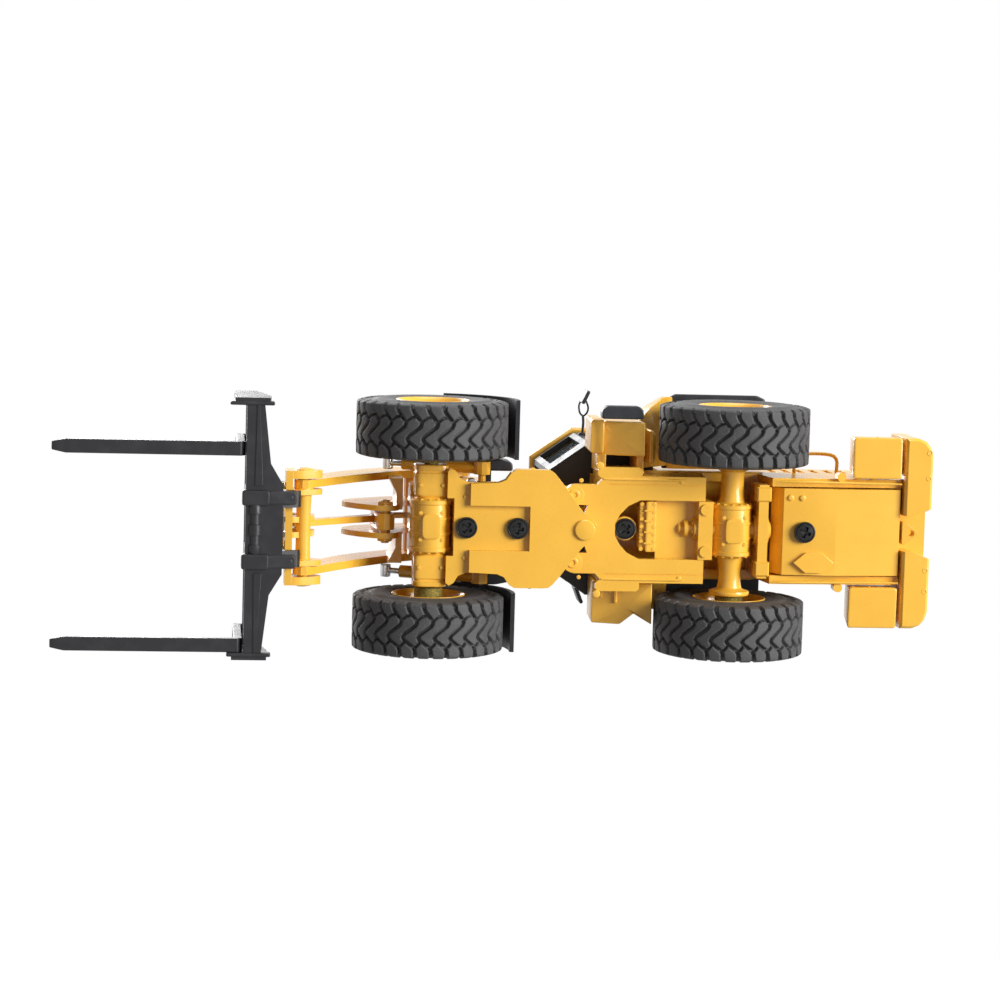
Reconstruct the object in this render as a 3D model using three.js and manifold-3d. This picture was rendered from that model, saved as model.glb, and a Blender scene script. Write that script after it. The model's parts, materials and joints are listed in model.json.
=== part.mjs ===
// A toy front loader with a pallet fork, about one part in fifty of a real machine.
// Millimetres, +Z up, the front faces -Y and the loader's left side is +X.
// The wheels stand on Z = 0, and the origin lies under the middle of the loader's length.
// The pieces are set out from the vertical hitch pin, and the last lines move the whole.
import * as THREE from "three";
import { mergeVertices } from "three/addons/utils/BufferGeometryUtils.js";
import Module from "manifold-3d";

const wasm = await Module();
wasm.setup();

// Clearances
const seatGap = 0.25; // between pieces of one body that touch
const runGap = 0.35; // between pieces that move on each other
const overrun = 0.5; // how far a cutter or a buried end goes past a face

// Wheels and axles
const wheelbase = 71;
const hitchToAxle = wheelbase / 2;
const track = 44.8;
const tyreRadius = 17.6;
const tyreWidth = 14.6;
const rimRadius = 8.6;
const rimWidth = 12.8;
const shaftRadius = 1.6;
const collarRadius = 3.3;
const shaftReach = 24.4; // from the middle to the end of a shaft
const axleEnd = 14.2; // half length of an axle housing
const axleBoxHalf = 4.0;
const diffRadius = 4.9;
const diffHalfLength = 6.2;
const diffPanelHeight = 0.4;
const axleBossRadius = 2.2;
const axleBossReach = 9.2;

// Plates that run from the hitch pin forward
const frontPlateBottom = 11.2;
const plateThickness = 2;
const plateShy = 3.5; // from the middle of the front axle back to the plate's edge
const frontPlateLength = hitchToAxle - plateShy;
const frontPlateHalf = 13.8;
const channelHalf = 5.2;
const channelDepth = 1.4;
const floorThickness = 1.6;
const coreHalf = 5.4;
const coreLength = 11.5;
const towerHalf = 8.8;
const towerThickness = 2;
const towerHeel = 9.2; // from the hitch pin to the tower's rear wall
const towerToe = 4.3; // how far the tower reaches past the middle of the axle
const towerFoot = hitchToAxle + towerToe - towerHeel;
const towerShoulderZ = 31;
const noseRadius = 3;
const hitchPinRadius = 1.9;

// Loader linkage, in side view: distances forward and up
const boomPivotBack = 8; // from the front axle back to the boom pivot
const boomPivotForward = hitchToAxle - boomPivotBack;
const boomPivotZ = 45;
const boomReach = 37.7; // from the boom pivot forward to the coupler pin
const boomDrop = 36.4; // from the boom pivot down to the coupler pin
const armSpacing = 20; // between the middles of the two arms
const armThickness = 1.8;
const armHalfDepth = 4;
const crankForward = 18; // from the boom pivot to the crank pivot
const crankDrop = 21.5;
const crankArm = 7.8; // from the crank pivot to the link pin
const crankTopShare = 1.6; // cylinder pin, in arms of the crank
const crankLean = -1; // how far the crank arm leans back; forward when below zero
const cheekThickness = 0.8;
const linkThickness = 1.5;
const bracketThickness = 1.3;
const pinRadius = 1.2;
const cylinderPinRadius = 0.9;
const eyeRadius = 2;
const tiltBaseForward = -5.5; // from the boom pivot to the rear pin of the tilt cylinder
const tiltBaseDrop = 4;
const crossTubeForward = 10.5;
const crossTubeDrop = 2.4;
const crossTubeRadius = 2;
const crossPlateForward = 13.9;
const crossPlateThickness = 1.5;
const crossPlateTop = 7; // from the boom pivot down to the top of the cross plate
const crossPlateHeight = 13;

// Cylinders
const liftBaseBack = 12.5; // from the front axle back to the rear pin of a lift cylinder
const liftBaseForward = hitchToAxle - liftBaseBack;
const liftBaseZ = 24;
const liftEndForward = 17; // from the boom pivot to the front pin of a lift cylinder
const liftEndDrop = 11;
const liftSide = 12.9;
const barrelRadius = 1.5;
const rodRadius = 0.75;
const steerEarSide = 8;
const steerEarForward = 2;
const steerEndSide = 9.8;
const steerEndBack = 9.5; // from the front axle back to the front pin of a steering cylinder
const steerEndForward = hitchToAxle - steerEndBack;
const steerZ = 17.6;
const earRadius = 2.4;

// Coupler and fork carriage, measured from the coupler pin
const clevisInner = 7.5;
const clevisOuter = 13.1;
const couplerPlateForward = 2.6;
const couplerPlateThickness = 1.6;
const couplerTop = 15;
const couplerBottom = 3.4;
const couplerTubeRadius = 1.3;
const carriageHalf = 29.8;
const carriageForward = 13.3; // from the coupler pin to the front face of the carriage
const carriageBottom = 7.2; // from the coupler pin down to the foot of the carriage
const carriageHeight = 23;
const carriageWall = 1.7;
const carriageDepth = 8.4;
const endPlateThickness = 1.3;
const hookSide = 6.8;
const hookWidth = 3.8;
const forkLength = 43.2;
const forkWidth = 3.2;
const forkThickness = 2;
const shankHeight = 24.6;
const leftForkInset = 11.6; // from the end of the carriage to the middle of a tine
const rightForkInset = 3.3;

// Rear body
const rearPlateBottom = 13.5;
const rearHalf = 12.5;
const railThickness = 2;
const rearPlateStart = 2.6;
const tabReach = 2; // how far the tabs beside the rear plate stick out
const tabLength = 10.4;
const tabHeight = 1.7;
const lugBehind = 25.3; // from the rear axle back to the lugs on the rails
const lugRadius = 1.1;
const rearPlateShy = 7; // from the plate's rear edge to the middle of the rear axle
const rearPlateLength = hitchToAxle - rearPlateShy - rearPlateStart;
const wallStart = 4.1; // the cross wall behind the hitch
const railTop = 30;
const railTail = 40.15; // from the rear axle back to the end of the rails
const railEnd = hitchToAxle + railTail;
const archHalf = 7.6; // half of the rails' arch over the rear axle
const archSlope = 1.5;
const tailThickness = 1;
const lugTop = 35.3;
const openingHalf = 6.9;
const openingStart = 7.4;
const trunnionSide = 5.1; // from the middle of the rear axle to a trunnion's near face
const trunnionStart = hitchToAxle + trunnionSide;
const trunnionLength = 3.4;
const trunnionHalf = 6.8;
const trunnionBar = 2.3;
const postRadius = 2.8; // of the post that the front screw of the rear frame goes into
const postBack = 10;
const bellyBehind = 11.8; // from the rear axle back to the belly pan, its fold and its end
const foldBehind = 24.4;
const bellyTail = 39.8;
const bellyStart = hitchToAxle + bellyBehind;
const bellyFold = hitchToAxle + foldBehind;
const bellyEnd = hitchToAxle + bellyTail;
const bellyRise = 1.6;
const bellyRun = 2.2; // how far the sloped front of the belly pan reaches
const bellyNose = 4.2;
const bellyHalf = 10.2;
const hatchSide = 7.2;
const hatchHalf = 2.4;
const hatchLength = 9.6;
const hatchHeight = 0.4;
const screwRadius = 2.5;
const screwHeight = 1;
const weightBehind = 40.4;
const weightStart = hitchToAxle + weightBehind;
const weightLength = 6.6;
const weightHalf = 22.5;
const weightBottom = 13.5;
const weightTop = 30;
const notchHalf = 4.2;
const notchTop = 19.5;
const towHeight = 3;
const towHalf = 2.7;
const towLength = 3.9;
const boxInner = 12.8;
const boxOuter = 22.6;
const boxBehind = 27.6;
const boxStart = hitchToAxle + boxBehind;
const boxLength = 12;
const boxBottom = 13.5;
const boxTop = 27;

// Hood, cab and what stands on the rear body
const hoodHalf = 11.8;
const hoodBehind = 42.3;
const hoodEnd = hitchToAxle + hoodBehind;
const hoodHeight = 20;
const hoodEdge = 1.2;
const grilleHalf = 9;
const grilleHeight = 12;
const grilleThickness = 1;
const cabFront = -5.8;
const cabShy = 16.1; // from the cab's back to the middle of the rear axle
const cabBack = hitchToAxle - cabShy;
const cabLength = cabBack - cabFront;
const hoodClearance = 0.4;
const hoodStart = cabBack + hoodClearance;
const cabHalf = 18.4;
const cabBottom = 35.6;
const cabHeight = 31;
const sillHeight = 8;
const cabWall = 1.3;
const glassThickness = 0.7;
const pillarWidth = 1.5;
const roofThickness = 2.6;
const roofOverhang = 1.1;
const seatWidth = 9;
const seatShy = 4.6; // how much less than half the cab's length the seat is deep
const seatDepth = cabLength / 2 - seatShy;
const seatHeight = 10;
const wheelRingRadius = 3;
const stackRadius = 1.1;
const stackHeight = 11;
const stepStart = 1.8;
const stepClearance = 3.6; // between the left step and the rear tyre
const stepLength = hitchToAxle - tyreRadius - stepClearance - stepStart;
const stepOuter = 25.2;
const tankStart = 3.4;
const tankClearance = 0.8; // between the right tank and the rear tyre
const tankLength = hitchToAxle - tyreRadius - tankClearance - tankStart;
const tankOuter = 23.1;
const treadOuter = 28.6;
const treadStart = 3.9;
const treadShy = 0.4; // from the back of the tread to the back of the step
const treadLength = stepStart + stepLength - treadShy - treadStart;
const treadThickness = 1.2;
const stepBottom = 16;
const stepTop = 34;
const fenderGap = 5.4; // between the rear tyre and its fender
const fenderClearance = 0.7; // between a rear fender and the cab
const frontFenderGap = 1.7;
const fenderThickness = 1;
const fenderOuter = 30.2;
const mirrorReach = 29.9;
const foldedReach = 23.4; // the right mirror is folded in
const mirrorWidth = 3;
const mirrorHeight = 5.5;
const mirrorThickness = 1;
const mirrorBack = 1.5;
const railingRadius = 0.5;

// Colours
function paint(colour, roughness, metalness) {
  return new THREE.MeshStandardMaterial({ color: colour, roughness, metalness });
}

function yellowPaint() {
  return paint(0xe9a92b, 0.35, 0.1);
}

function blackPaint() {
  return paint(0x2c2d30, 0.4, 0.1);
}

function rubber() {
  return paint(0x303134, 0.85, 0);
}

function steel() {
  return paint(0xb9bcc0, 0.25, 0.9);
}

function brass() {
  return paint(0x9a8432, 0.5, 0.7);
}

function glass() {
  return paint(0x5a6a74, 0.08, 0.1);
}

// Closed solids from three.js geometry
function solid(geometry) {
  const plain = geometry.index ? geometry.toNonIndexed() : geometry.clone();
  plain.deleteAttribute("normal");
  plain.deleteAttribute("uv");
  const merged = mergeVertices(plain, seatGap / 1000);
  return new wasm.Manifold(
    new wasm.Mesh({
      numProp: 3,
      vertProperties: merged.attributes.position.array,
      triVerts: new Uint32Array(merged.index.array),
    }),
  );
}

function geometryOf(body) {
  const mesh = body.getMesh();
  const positions = new Float32Array(mesh.numVert * 3);
  for (let i = 0; i < mesh.numVert; i++) {
    const start = i * mesh.numProp;
    positions.set(mesh.vertProperties.subarray(start, start + 3), i * 3);
  }
  const geometry = new THREE.BufferGeometry();
  geometry.setAttribute("position", new THREE.BufferAttribute(positions, 3));
  geometry.setIndex(new THREE.BufferAttribute(mesh.triVerts, 1));
  const flat = geometry.toNonIndexed();
  flat.computeVertexNormals();
  return flat;
}

function join(bodies) {
  return bodies.reduce((whole, body) => whole.add(body));
}

function cut(body, cutters) {
  return cutters.reduce((whole, cutter) => whole.subtract(cutter), body);
}

function piece(name, body, material) {
  const mesh = new THREE.Mesh(geometryOf(body), material);
  mesh.name = name;
  return mesh;
}

function groupAt(x, y, z, children) {
  const group = new THREE.Group();
  group.position.set(x, y, z);
  children.forEach((child) => group.add(child));
  return group;
}

// Profiles pushed straight along one axis
function pushed(points, from, to, turn, edge = 0) {
  const shape = new THREE.Shape(points.map(([u, v]) => new THREE.Vector2(u, v)));
  const geometry = new THREE.ExtrudeGeometry(shape, {
    depth: to - from - 2 * edge,
    bevelEnabled: edge > 0,
    bevelSize: edge,
    bevelThickness: edge,
    bevelOffset: -edge,
    bevelSegments: 1,
  });
  geometry.translate(0, 0, from + edge);
  geometry.applyMatrix4(turn);
  return solid(geometry);
}

function axes(u, v, w) {
  return new THREE.Matrix4().makeBasis(u, v, w);
}

const X = new THREE.Vector3(1, 0, 0);
const Y = new THREE.Vector3(0, 1, 0);
const Z = new THREE.Vector3(0, 0, 1);

// Side profiles are pairs of y and z.
function alongX(points, from, to, edge) {
  return pushed(points, from, to, axes(Y, Z, X), edge);
}

// Front profiles are pairs of x and z.
function alongY(points, from, to, edge) {
  const swapped = points.map(([x, z]) => [z, x]);
  return pushed(swapped, from, to, axes(Z, X, Y), edge);
}

// Plans are pairs of x and y.
function alongZ(points, from, to, edge) {
  return pushed(points, from, to, axes(X, Y, Z), edge);
}

function box(x, y, z, edge) {
  const plan = [
    [x[0], y[0]],
    [x[1], y[0]],
    [x[1], y[1]],
    [x[0], y[1]],
  ];
  return alongZ(plan, z[0], z[1], edge);
}

function bothSides(points) {
  const mirrored = points.map(([x, y]) => [-x, y]).reverse();
  return [...points, ...mirrored];
}

// An outline in shares of a width and a length, set down at a corner.
function sized(shares, across, along, start = [0, 0]) {
  return shares.map(([a, b]) => [start[0] + a * across, start[1] + b * along]);
}

function roundSides(radius) {
  return radius > eyeRadius ? 16 : 10;
}

function circle(radius, sides = roundSides(radius), centre = [0, 0]) {
  return Array.from({ length: sides }, (_, i) => {
    const angle = (2 * Math.PI * i) / sides;
    return [centre[0] + radius * Math.cos(angle), centre[1] + radius * Math.sin(angle)];
  });
}

// Corners rounded by a radius, each in a few short chords.
function rounded(points, radius, chords = 2) {
  const out = [];
  points.forEach((point, i) => {
    const here = new THREE.Vector2(...point);
    const before = new THREE.Vector2(...points.at(i - 1)).sub(here);
    const after = new THREE.Vector2(...points[(i + 1) % points.length]).sub(here);
    const reach = Math.min(radius, before.length() / 2, after.length() / 2);
    before.setLength(reach).add(here);
    after.setLength(reach).add(here);
    for (let k = 0; k <= chords; k++) {
      const t = k / chords;
      const bend = before
        .clone()
        .multiplyScalar((1 - t) * (1 - t))
        .addScaledVector(here, 2 * t * (1 - t))
        .addScaledVector(after, t * t);
      out.push([bend.x, bend.y]);
    }
  });
  return out.filter((p, i) => {
    const next = out[(i + 1) % out.length];
    return Math.hypot(p[0] - next[0], p[1] - next[1]) > seatGap / 100;
  });
}

// A strip of changing width along a smooth line, with round ends.
function ribbon(spine, halfWidths, samples = 12, endSides = 5) {
  const curve = new THREE.SplineCurve(spine.map(([u, v]) => new THREE.Vector2(u, v)));
  const left = [];
  const right = [];
  const width = (t) => {
    const place = t * (halfWidths.length - 1);
    const low = Math.min(Math.floor(place), halfWidths.length - 2);
    return THREE.MathUtils.lerp(halfWidths[low], halfWidths[low + 1], place - low);
  };
  for (let i = 0; i <= samples; i++) {
    const t = i / samples;
    const point = curve.getPoint(t);
    const side = curve.getTangent(t).rotateAround(new THREE.Vector2(), Math.PI / 2);
    left.push(point.clone().addScaledVector(side, width(t)));
    right.push(point.clone().addScaledVector(side, -width(t)));
  }
  const cap = (t, sign) => {
    const centre = curve.getPoint(t);
    const side = curve.getTangent(t).rotateAround(new THREE.Vector2(), (sign * Math.PI) / 2);
    return Array.from({ length: endSides - 1 }, (_, k) =>
      side
        .clone()
        .multiplyScalar(width(t))
        .rotateAround(new THREE.Vector2(), (-Math.PI * (k + 1)) / endSides)
        .add(centre),
    );
  };
  const outline = [...left, ...cap(1, 1), ...right.reverse(), ...cap(0, -1)];
  return outline.map((p) => [p.x, p.y]);
}

// Round bars along an axis
function barX(radius, from, to, y = 0, z = 0, sides = roundSides(radius)) {
  return alongX(circle(radius, sides, [y, z]), from, to);
}

function barY(radius, from, to, x = 0, z = 0, sides = roundSides(radius)) {
  return alongY(circle(radius, sides, [x, z]), from, to);
}

function barZ(radius, from, to, x = 0, y = 0, sides = roundSides(radius)) {
  return alongZ(circle(radius, sides, [x, y]), from, to);
}

// A profile of axial places and radii, turned about the X axis.
function turnedX(profile, sides = 32) {
  const points = profile.map(([axial, radius]) => new THREE.Vector2(radius, axial));
  const closes = profile[0][1] > 0;
  if (closes) points.push(points[0].clone());
  const geometry = new THREE.LatheGeometry(points, sides);
  geometry.applyMatrix4(axes(Z, X, Y));
  const body = solid(geometry);
  if (body.volume() > 0) return body;
  const reversed = new THREE.LatheGeometry([...points].reverse(), sides);
  reversed.applyMatrix4(axes(Z, X, Y));
  return solid(reversed);
}

// A round bar bent along a line of points
function bentBar(points, radius, sides = 6, steps = 20) {
  const path = new THREE.CatmullRomCurve3(
    points.map((p) => new THREE.Vector3(...p)),
    false,
    "centripetal",
  );
  const shape = new THREE.Shape(circle(radius, sides).map(([u, v]) => new THREE.Vector2(u, v)));
  const geometry = new THREE.ExtrudeGeometry(shape, { steps, extrudePath: path });
  return solid(geometry);
}

// Wheels
const tyreShares = [
  [-0.36, 0.5],
  [-0.47, 0.6],
  [-0.5, 0.78],
  [-0.47, 0.93],
  [-0.4, 0.985],
  [-0.2, 1],
  [0.2, 1],
  [0.4, 0.985],
  [0.47, 0.93],
  [0.5, 0.78],
  [0.47, 0.6],
  [0.36, 0.5],
];

function tyre(name) {
  const profile = tyreShares.map(([axial, radial]) => [axial * tyreWidth, radial * tyreRadius]);
  const bead = rimRadius + seatGap;
  profile[0][1] = bead;
  profile[profile.length - 1][1] = bead;
  return piece(name, turnedX(profile, 32), rubber());
}

const rimShares = [
  [0.36, 0.27],
  [0.3, 0.36],
  [0.11, 0.52],
  [0.11, 0.72],
  [0.26, 0.86],
  [0.5, 0.92],
  [0.5, 1],
  [-0.5, 1],
  [-0.5, 0.92],
  [-0.28, 0.8],
  [-0.16, 0.5],
  [-0.34, 0.4],
];
const hubCapShare = 0.38;
const boreDepthShare = 0.2;

function rim(name, outward) {
  const bore = shaftRadius + runGap;
  const profile = [
    [hubCapShare * rimWidth, 0],
    ...rimShares.map(([axial, radial]) => [axial * rimWidth, radial * rimRadius]),
    [rimShares.at(-1)[0] * rimWidth, bore],
    [boreDepthShare * rimWidth, bore],
    [boreDepthShare * rimWidth, 0],
  ];
  const turned = profile.map(([axial, radius]) => [axial * outward, radius]);
  return piece(name, turnedX(turned, 20), yellowPaint());
}

function wheel(name, outward) {
  return groupAt((outward * track) / 2, 0, 0, [
    tyre(name + "_tyre"),
    rim(name + "_rim", outward),
  ]);
}

// Axles
function shaft(name) {
  const inner = track / 2 + rimShares.at(-1)[0] * rimWidth - runGap;
  const profile = [
    [-shaftReach, 0],
    [-shaftReach, shaftRadius],
    [-inner, shaftRadius],
    [-inner, collarRadius],
    [-axleEnd - seatGap, collarRadius],
    [-axleEnd - seatGap, shaftRadius],
    [axleEnd + seatGap, shaftRadius],
    [axleEnd + seatGap, collarRadius],
    [inner, collarRadius],
    [inner, shaftRadius],
    [shaftReach, shaftRadius],
    [shaftReach, 0],
  ];
  return piece(name, turnedX(profile, 16), brass());
}

const diffShares = [
  [-1.16, 0.62],
  [-1, 0.72],
  [-1, 0.94],
  [-0.9, 1],
  [0.9, 1],
  [1, 0.94],
  [1, 0.72],
  [1.16, 0.62],
];

function differential() {
  const profile = diffShares.map(([axial, radial]) => [
    axial * diffHalfLength,
    radial * diffRadius,
  ]);
  const ends = [
    [profile.at(-1)[0], 0],
    [profile[0][0], 0],
  ];
  return turnedX([...ends.slice(1), ...profile, ends[0]], 20);
}

const panelHalfShare = 0.62;

function diffPanel() {
  const half = panelHalfShare * diffRadius;
  const across = panelHalfShare * diffHalfLength;
  return box([-across, across], [-half, half], [-diffRadius - diffPanelHeight, 0]);
}

const axleBoxShares = [
  [-1, -0.6],
  [-0.6, -1],
  [0.6, -1],
  [1, -0.6],
  [1, 1],
  [-1, 1],
];

function frontAxle() {
  const body = join([
    alongX(sized(axleBoxShares, axleBoxHalf, axleBoxHalf), -axleEnd, axleEnd),
    differential(),
    diffPanel(),
  ]);
  const bore = barX(shaftRadius + seatGap, -axleEnd - overrun, axleEnd + overrun);
  return piece("front_axle", cut(body, [bore]), yellowPaint());
}

const rearTubeShares = [
  [-1, 0],
  [-1, 0.94],
  [-0.93, 1],
  [-0.87, 0.95],
  [-0.8, 0.62],
  [0, 0.55],
  [0.8, 0.62],
  [0.87, 0.95],
  [0.93, 1],
  [1, 0.94],
  [1, 0],
];
const flangeRadius = 4.6;

function rearAxle() {
  const tube = rearTubeShares.map(([axial, radial]) => [axial * axleEnd, radial * flangeRadius]);
  const body = join([
    turnedX(tube, 20),
    differential(),
    diffPanel(),
    barY(axleBossRadius, -axleBossReach, axleBossReach),
  ]);
  const bore = barX(shaftRadius + seatGap, -axleEnd - overrun, axleEnd + overrun);
  return piece("rear_axle", cut(body, [bore]), yellowPaint());
}

// Front frame
const frontPlateShares = [
  [0.16, 0.05],
  [0.32, -0.02],
  [0.77, -0.165],
  [0.94, -0.225],
  [0.99, -0.255],
  [1, -0.3],
  [1, -0.5],
  [0.95, -0.54],
  [0.82, -0.58],
  [0.77, -0.63],
];
const prongShares = [
  [0.76, -0.72],
  [0.75, -0.835],
];
const lobeShares = [
  [0.76, -0.72],
  [0.76, -0.85],
  [0.82, -0.91],
  [0.94, -0.94],
  [0.99, -0.975],
  [0.94, -1],
];
const pocketShare = 0.4; // of the plate's length, from the hitch pin to the pocket's end
const floorShare = 0.36;
const towerShares = [
  [0, 0],
  [0, 0.42],
  [0.32, 0.52],
  [0.4, 1],
  [0.76, 1],
  [0.78, 0.6],
  [1, 0.4],
  [1, 0],
];
const upperLugShares = [
  [1, 0],
  [1.7, 1],
  [1.7, 1.1],
];

function screw(name, x, y, z) {
  const head = barZ(screwRadius, 0, screwHeight);
  const slotHalf = screwRadius / 6;
  const reach = screwRadius * 0.62;
  const cross = join([
    box([-reach, reach], [-slotHalf, slotHalf], [-overrun, screwHeight / 2]),
    box([-slotHalf, slotHalf], [-reach, reach], [-overrun, screwHeight / 2]),
  ]);
  const mesh = piece(name, cut(head, [cross]), blackPaint());
  mesh.position.set(x, y, z);
  return mesh;
}

const screwForwardShares = [0.857, 0.484];

function frontFrame() {
  const top = frontPlateBottom + plateThickness;
  const floorLow = frontPlateBottom + channelDepth;
  const floorHigh = floorLow + floorThickness;
  const plan = (shares) =>
    bothSides(sized([...frontPlateShares, ...shares], frontPlateHalf, frontPlateLength));
  const pocket = box(
    [-channelHalf, channelHalf],
    [-frontPlateLength - overrun, -frontPlateLength * pocketShare],
    [frontPlateBottom - overrun, top + overrun],
  );
  const raised = join([
    cut(alongZ(plan(prongShares), frontPlateBottom, top), [pocket]),
    barZ(noseRadius, frontPlateBottom, top),
  ]);
  const behind = box(
    [-frontPlateLength, frontPlateLength],
    [-frontPlateLength * floorShare, frontPlateLength],
    [floorLow - overrun, floorHigh + overrun],
  );
  const floor = cut(alongZ(plan(lobeShares), floorLow, floorHigh), [behind]);
  const plate = join([raised, floor]);
  const deckZ = wheelHubZ() + axleBoxHalf + seatGap;
  const core = box(
    [-coreHalf, coreHalf],
    [-frontPlateLength, -frontPlateLength + coreLength],
    [floorLow + seatGap, deckZ + overrun],
  );
  const axleRoom = box(
    [-coreHalf - overrun, coreHalf + overrun],
    [-wheelbase, -wheelbase / 2 + diffRadius + seatGap],
    [0, deckZ - seatGap / 2],
  );
  const upright = boomPivotZ - deckZ;
  const side = sized(towerShares, -towerFoot, upright, [-towerHeel, deckZ]);
  const walls = [-1, 1].map((s) => {
    const inner = s * (towerHalf - towerThickness);
    const outer = s * towerHalf;
    const head = barX(eyeRadius * 2, Math.min(inner, outer), Math.max(inner, outer));
    return join([
      alongX(rounded(side, eyeRadius), Math.min(inner, outer), Math.max(inner, outer)),
      head.translate(0, -boomPivotForward, boomPivotZ),
    ]);
  });
  const inside = towerHalf - towerThickness + overrun;
  const floorBack = -towerHeel;
  const floorFront = -towerHeel - towerFoot;
  const deck = box([-inside, inside], [floorFront, floorBack], [deckZ, deckZ + plateThickness]);
  const frontWall = box(
    [-inside, inside],
    [floorFront, floorFront + towerThickness],
    [deckZ, deckZ + (towerShoulderZ - deckZ)],
  );
  const rearWall = box(
    [-inside, inside],
    [floorBack - towerThickness, floorBack],
    [deckZ, lugTop - plateThickness - runGap],
  );
  const diffRoom = box(
    [-diffHalfLength - overrun, diffHalfLength + overrun],
    [-wheelbase, -wheelbase / 2 + diffRadius + seatGap],
    [0, wheelHubZ() + diffRadius + seatGap],
  );
  const lugLow = lugTop - 2 * plateThickness - runGap;
  const lugHigh = lugTop - plateThickness - runGap;
  const lug = join([
    alongZ(bothSides(sized(upperLugShares, noseRadius, floorBack)), lugLow, lugHigh),
    barZ(noseRadius, lugLow, lugHigh),
  ]);
  const pivotBore = barX(
    pinRadius * 1.5 + runGap,
    -armSpacing,
    armSpacing,
    -boomPivotForward,
    boomPivotZ,
  );
  const liftPins = barX(
    cylinderPinRadius,
    -liftSide - barrelRadius,
    liftSide + barrelRadius,
    -liftBaseForward,
    liftBaseZ,
  );
  const bore = barZ(hitchPinRadius + seatGap, 0, lugTop);
  const body = join([cut(core, [axleRoom]), ...walls, deck, frontWall, rearWall, lug]);
  const whole = join([plate, body, liftPins]);
  return piece("front_frame", cut(whole, [bore, diffRoom, pivotBore]), yellowPaint());
}

function wheelHubZ() {
  return tyreRadius;
}

function hitchPin() {
  const bottom = frontPlateBottom - seatGap;
  const body = join([
    barZ(hitchPinRadius, bottom - seatGap, lugTop - seatGap),
    barZ(hitchPinRadius + 2 * seatGap, bottom - 2 * seatGap, bottom),
  ]);
  return piece("hitch_pin", body, yellowPaint());
}

// A fender is an arc about its axle, from one angle to another.
function fenderArc(radius, fromAngle, toAngle, inner, outer) {
  const steps = 8;
  const arc = (r) =>
    Array.from({ length: steps + 1 }, (_, i) => {
      const angle = THREE.MathUtils.lerp(fromAngle, toAngle, i / steps);
      return [r * Math.sin(angle), r * Math.cos(angle)];
    });
  const outline = [...arc(radius), ...arc(radius + fenderThickness).reverse()];
  return alongX(outline, inner, outer);
}

const frontFenderFrom = THREE.MathUtils.degToRad(12);
const frontFenderTo = THREE.MathUtils.degToRad(96);
const fenderInner = 15.6;
const bracketAngle = THREE.MathUtils.degToRad(48);

function frontFender(name, s) {
  const radius = tyreRadius + frontFenderGap;
  const outer = (track + tyreWidth) / 2 - seatGap;
  const ordered = (a, b) => [Math.min(a * s, b * s), Math.max(a * s, b * s)];
  const reach = ordered(fenderInner, outer);
  const arm = ordered(towerHalf + seatGap, fenderInner + overrun);
  const y = radius * Math.sin(bracketAngle);
  const z = radius * Math.cos(bracketAngle);
  const stay = box(arm, [y - fenderThickness, y + fenderThickness], [z, z + fenderThickness]);
  const body = join([
    fenderArc(radius, frontFenderFrom, frontFenderTo, ...reach),
    stay,
  ]);
  const mesh = piece(name, body, blackPaint());
  mesh.position.set(0, -wheelbase / 2, tyreRadius);
  return mesh;
}

// Cylinders lie along the line between their two pins, in a group turned to that line.
function barrelBody(length) {
  const wallStart = eyeRadius;
  return cut(
    join([
      barX(eyeRadius, -barrelRadius, barrelRadius),
      barY(barrelRadius, -length, -wallStart * 0.6),
    ]),
    [
      barX(cylinderPinRadius + runGap, -barrelRadius - overrun, barrelRadius + overrun),
      barY(rodRadius + runGap, -length - overrun, -wallStart - overrun),
    ],
  );
}

function rodBody(length, thickness) {
  return join([
    barX(eyeRadius * 0.65, -thickness / 2, thickness / 2),
    barY(rodRadius, 0, length),
  ]);
}

// Boom
const armForwardShares = [0, 0.33, 0.66, 0.88, 1];
const armDropShares = [0, 0.11, 0.44, 0.78, 1];
const armWidthShares = [0.9, 1.05, 1.02, 0.75, 0.56];

function armOutline() {
  const spine = armForwardShares.map((share, i) => [
    -share * boomReach,
    -armDropShares[i] * boomDrop,
  ]);
  const widths = armWidthShares.map((share) => share * armHalfDepth);
  return ribbon(spine, widths);
}

const bracketShares = [
  [0.2, 0.08],
  [0.2, -0.12],
  [-0.38, -0.48],
  [-0.44, -0.76],
  [-0.68, -1.12],
  [-1.2, -1.14],
  [-1.9, -0.92],
  [-2.4, -0.62],
  [-2.15, -0.36],
  [-1.45, -0.14],
  [-0.65, 0.07],
];

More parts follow.
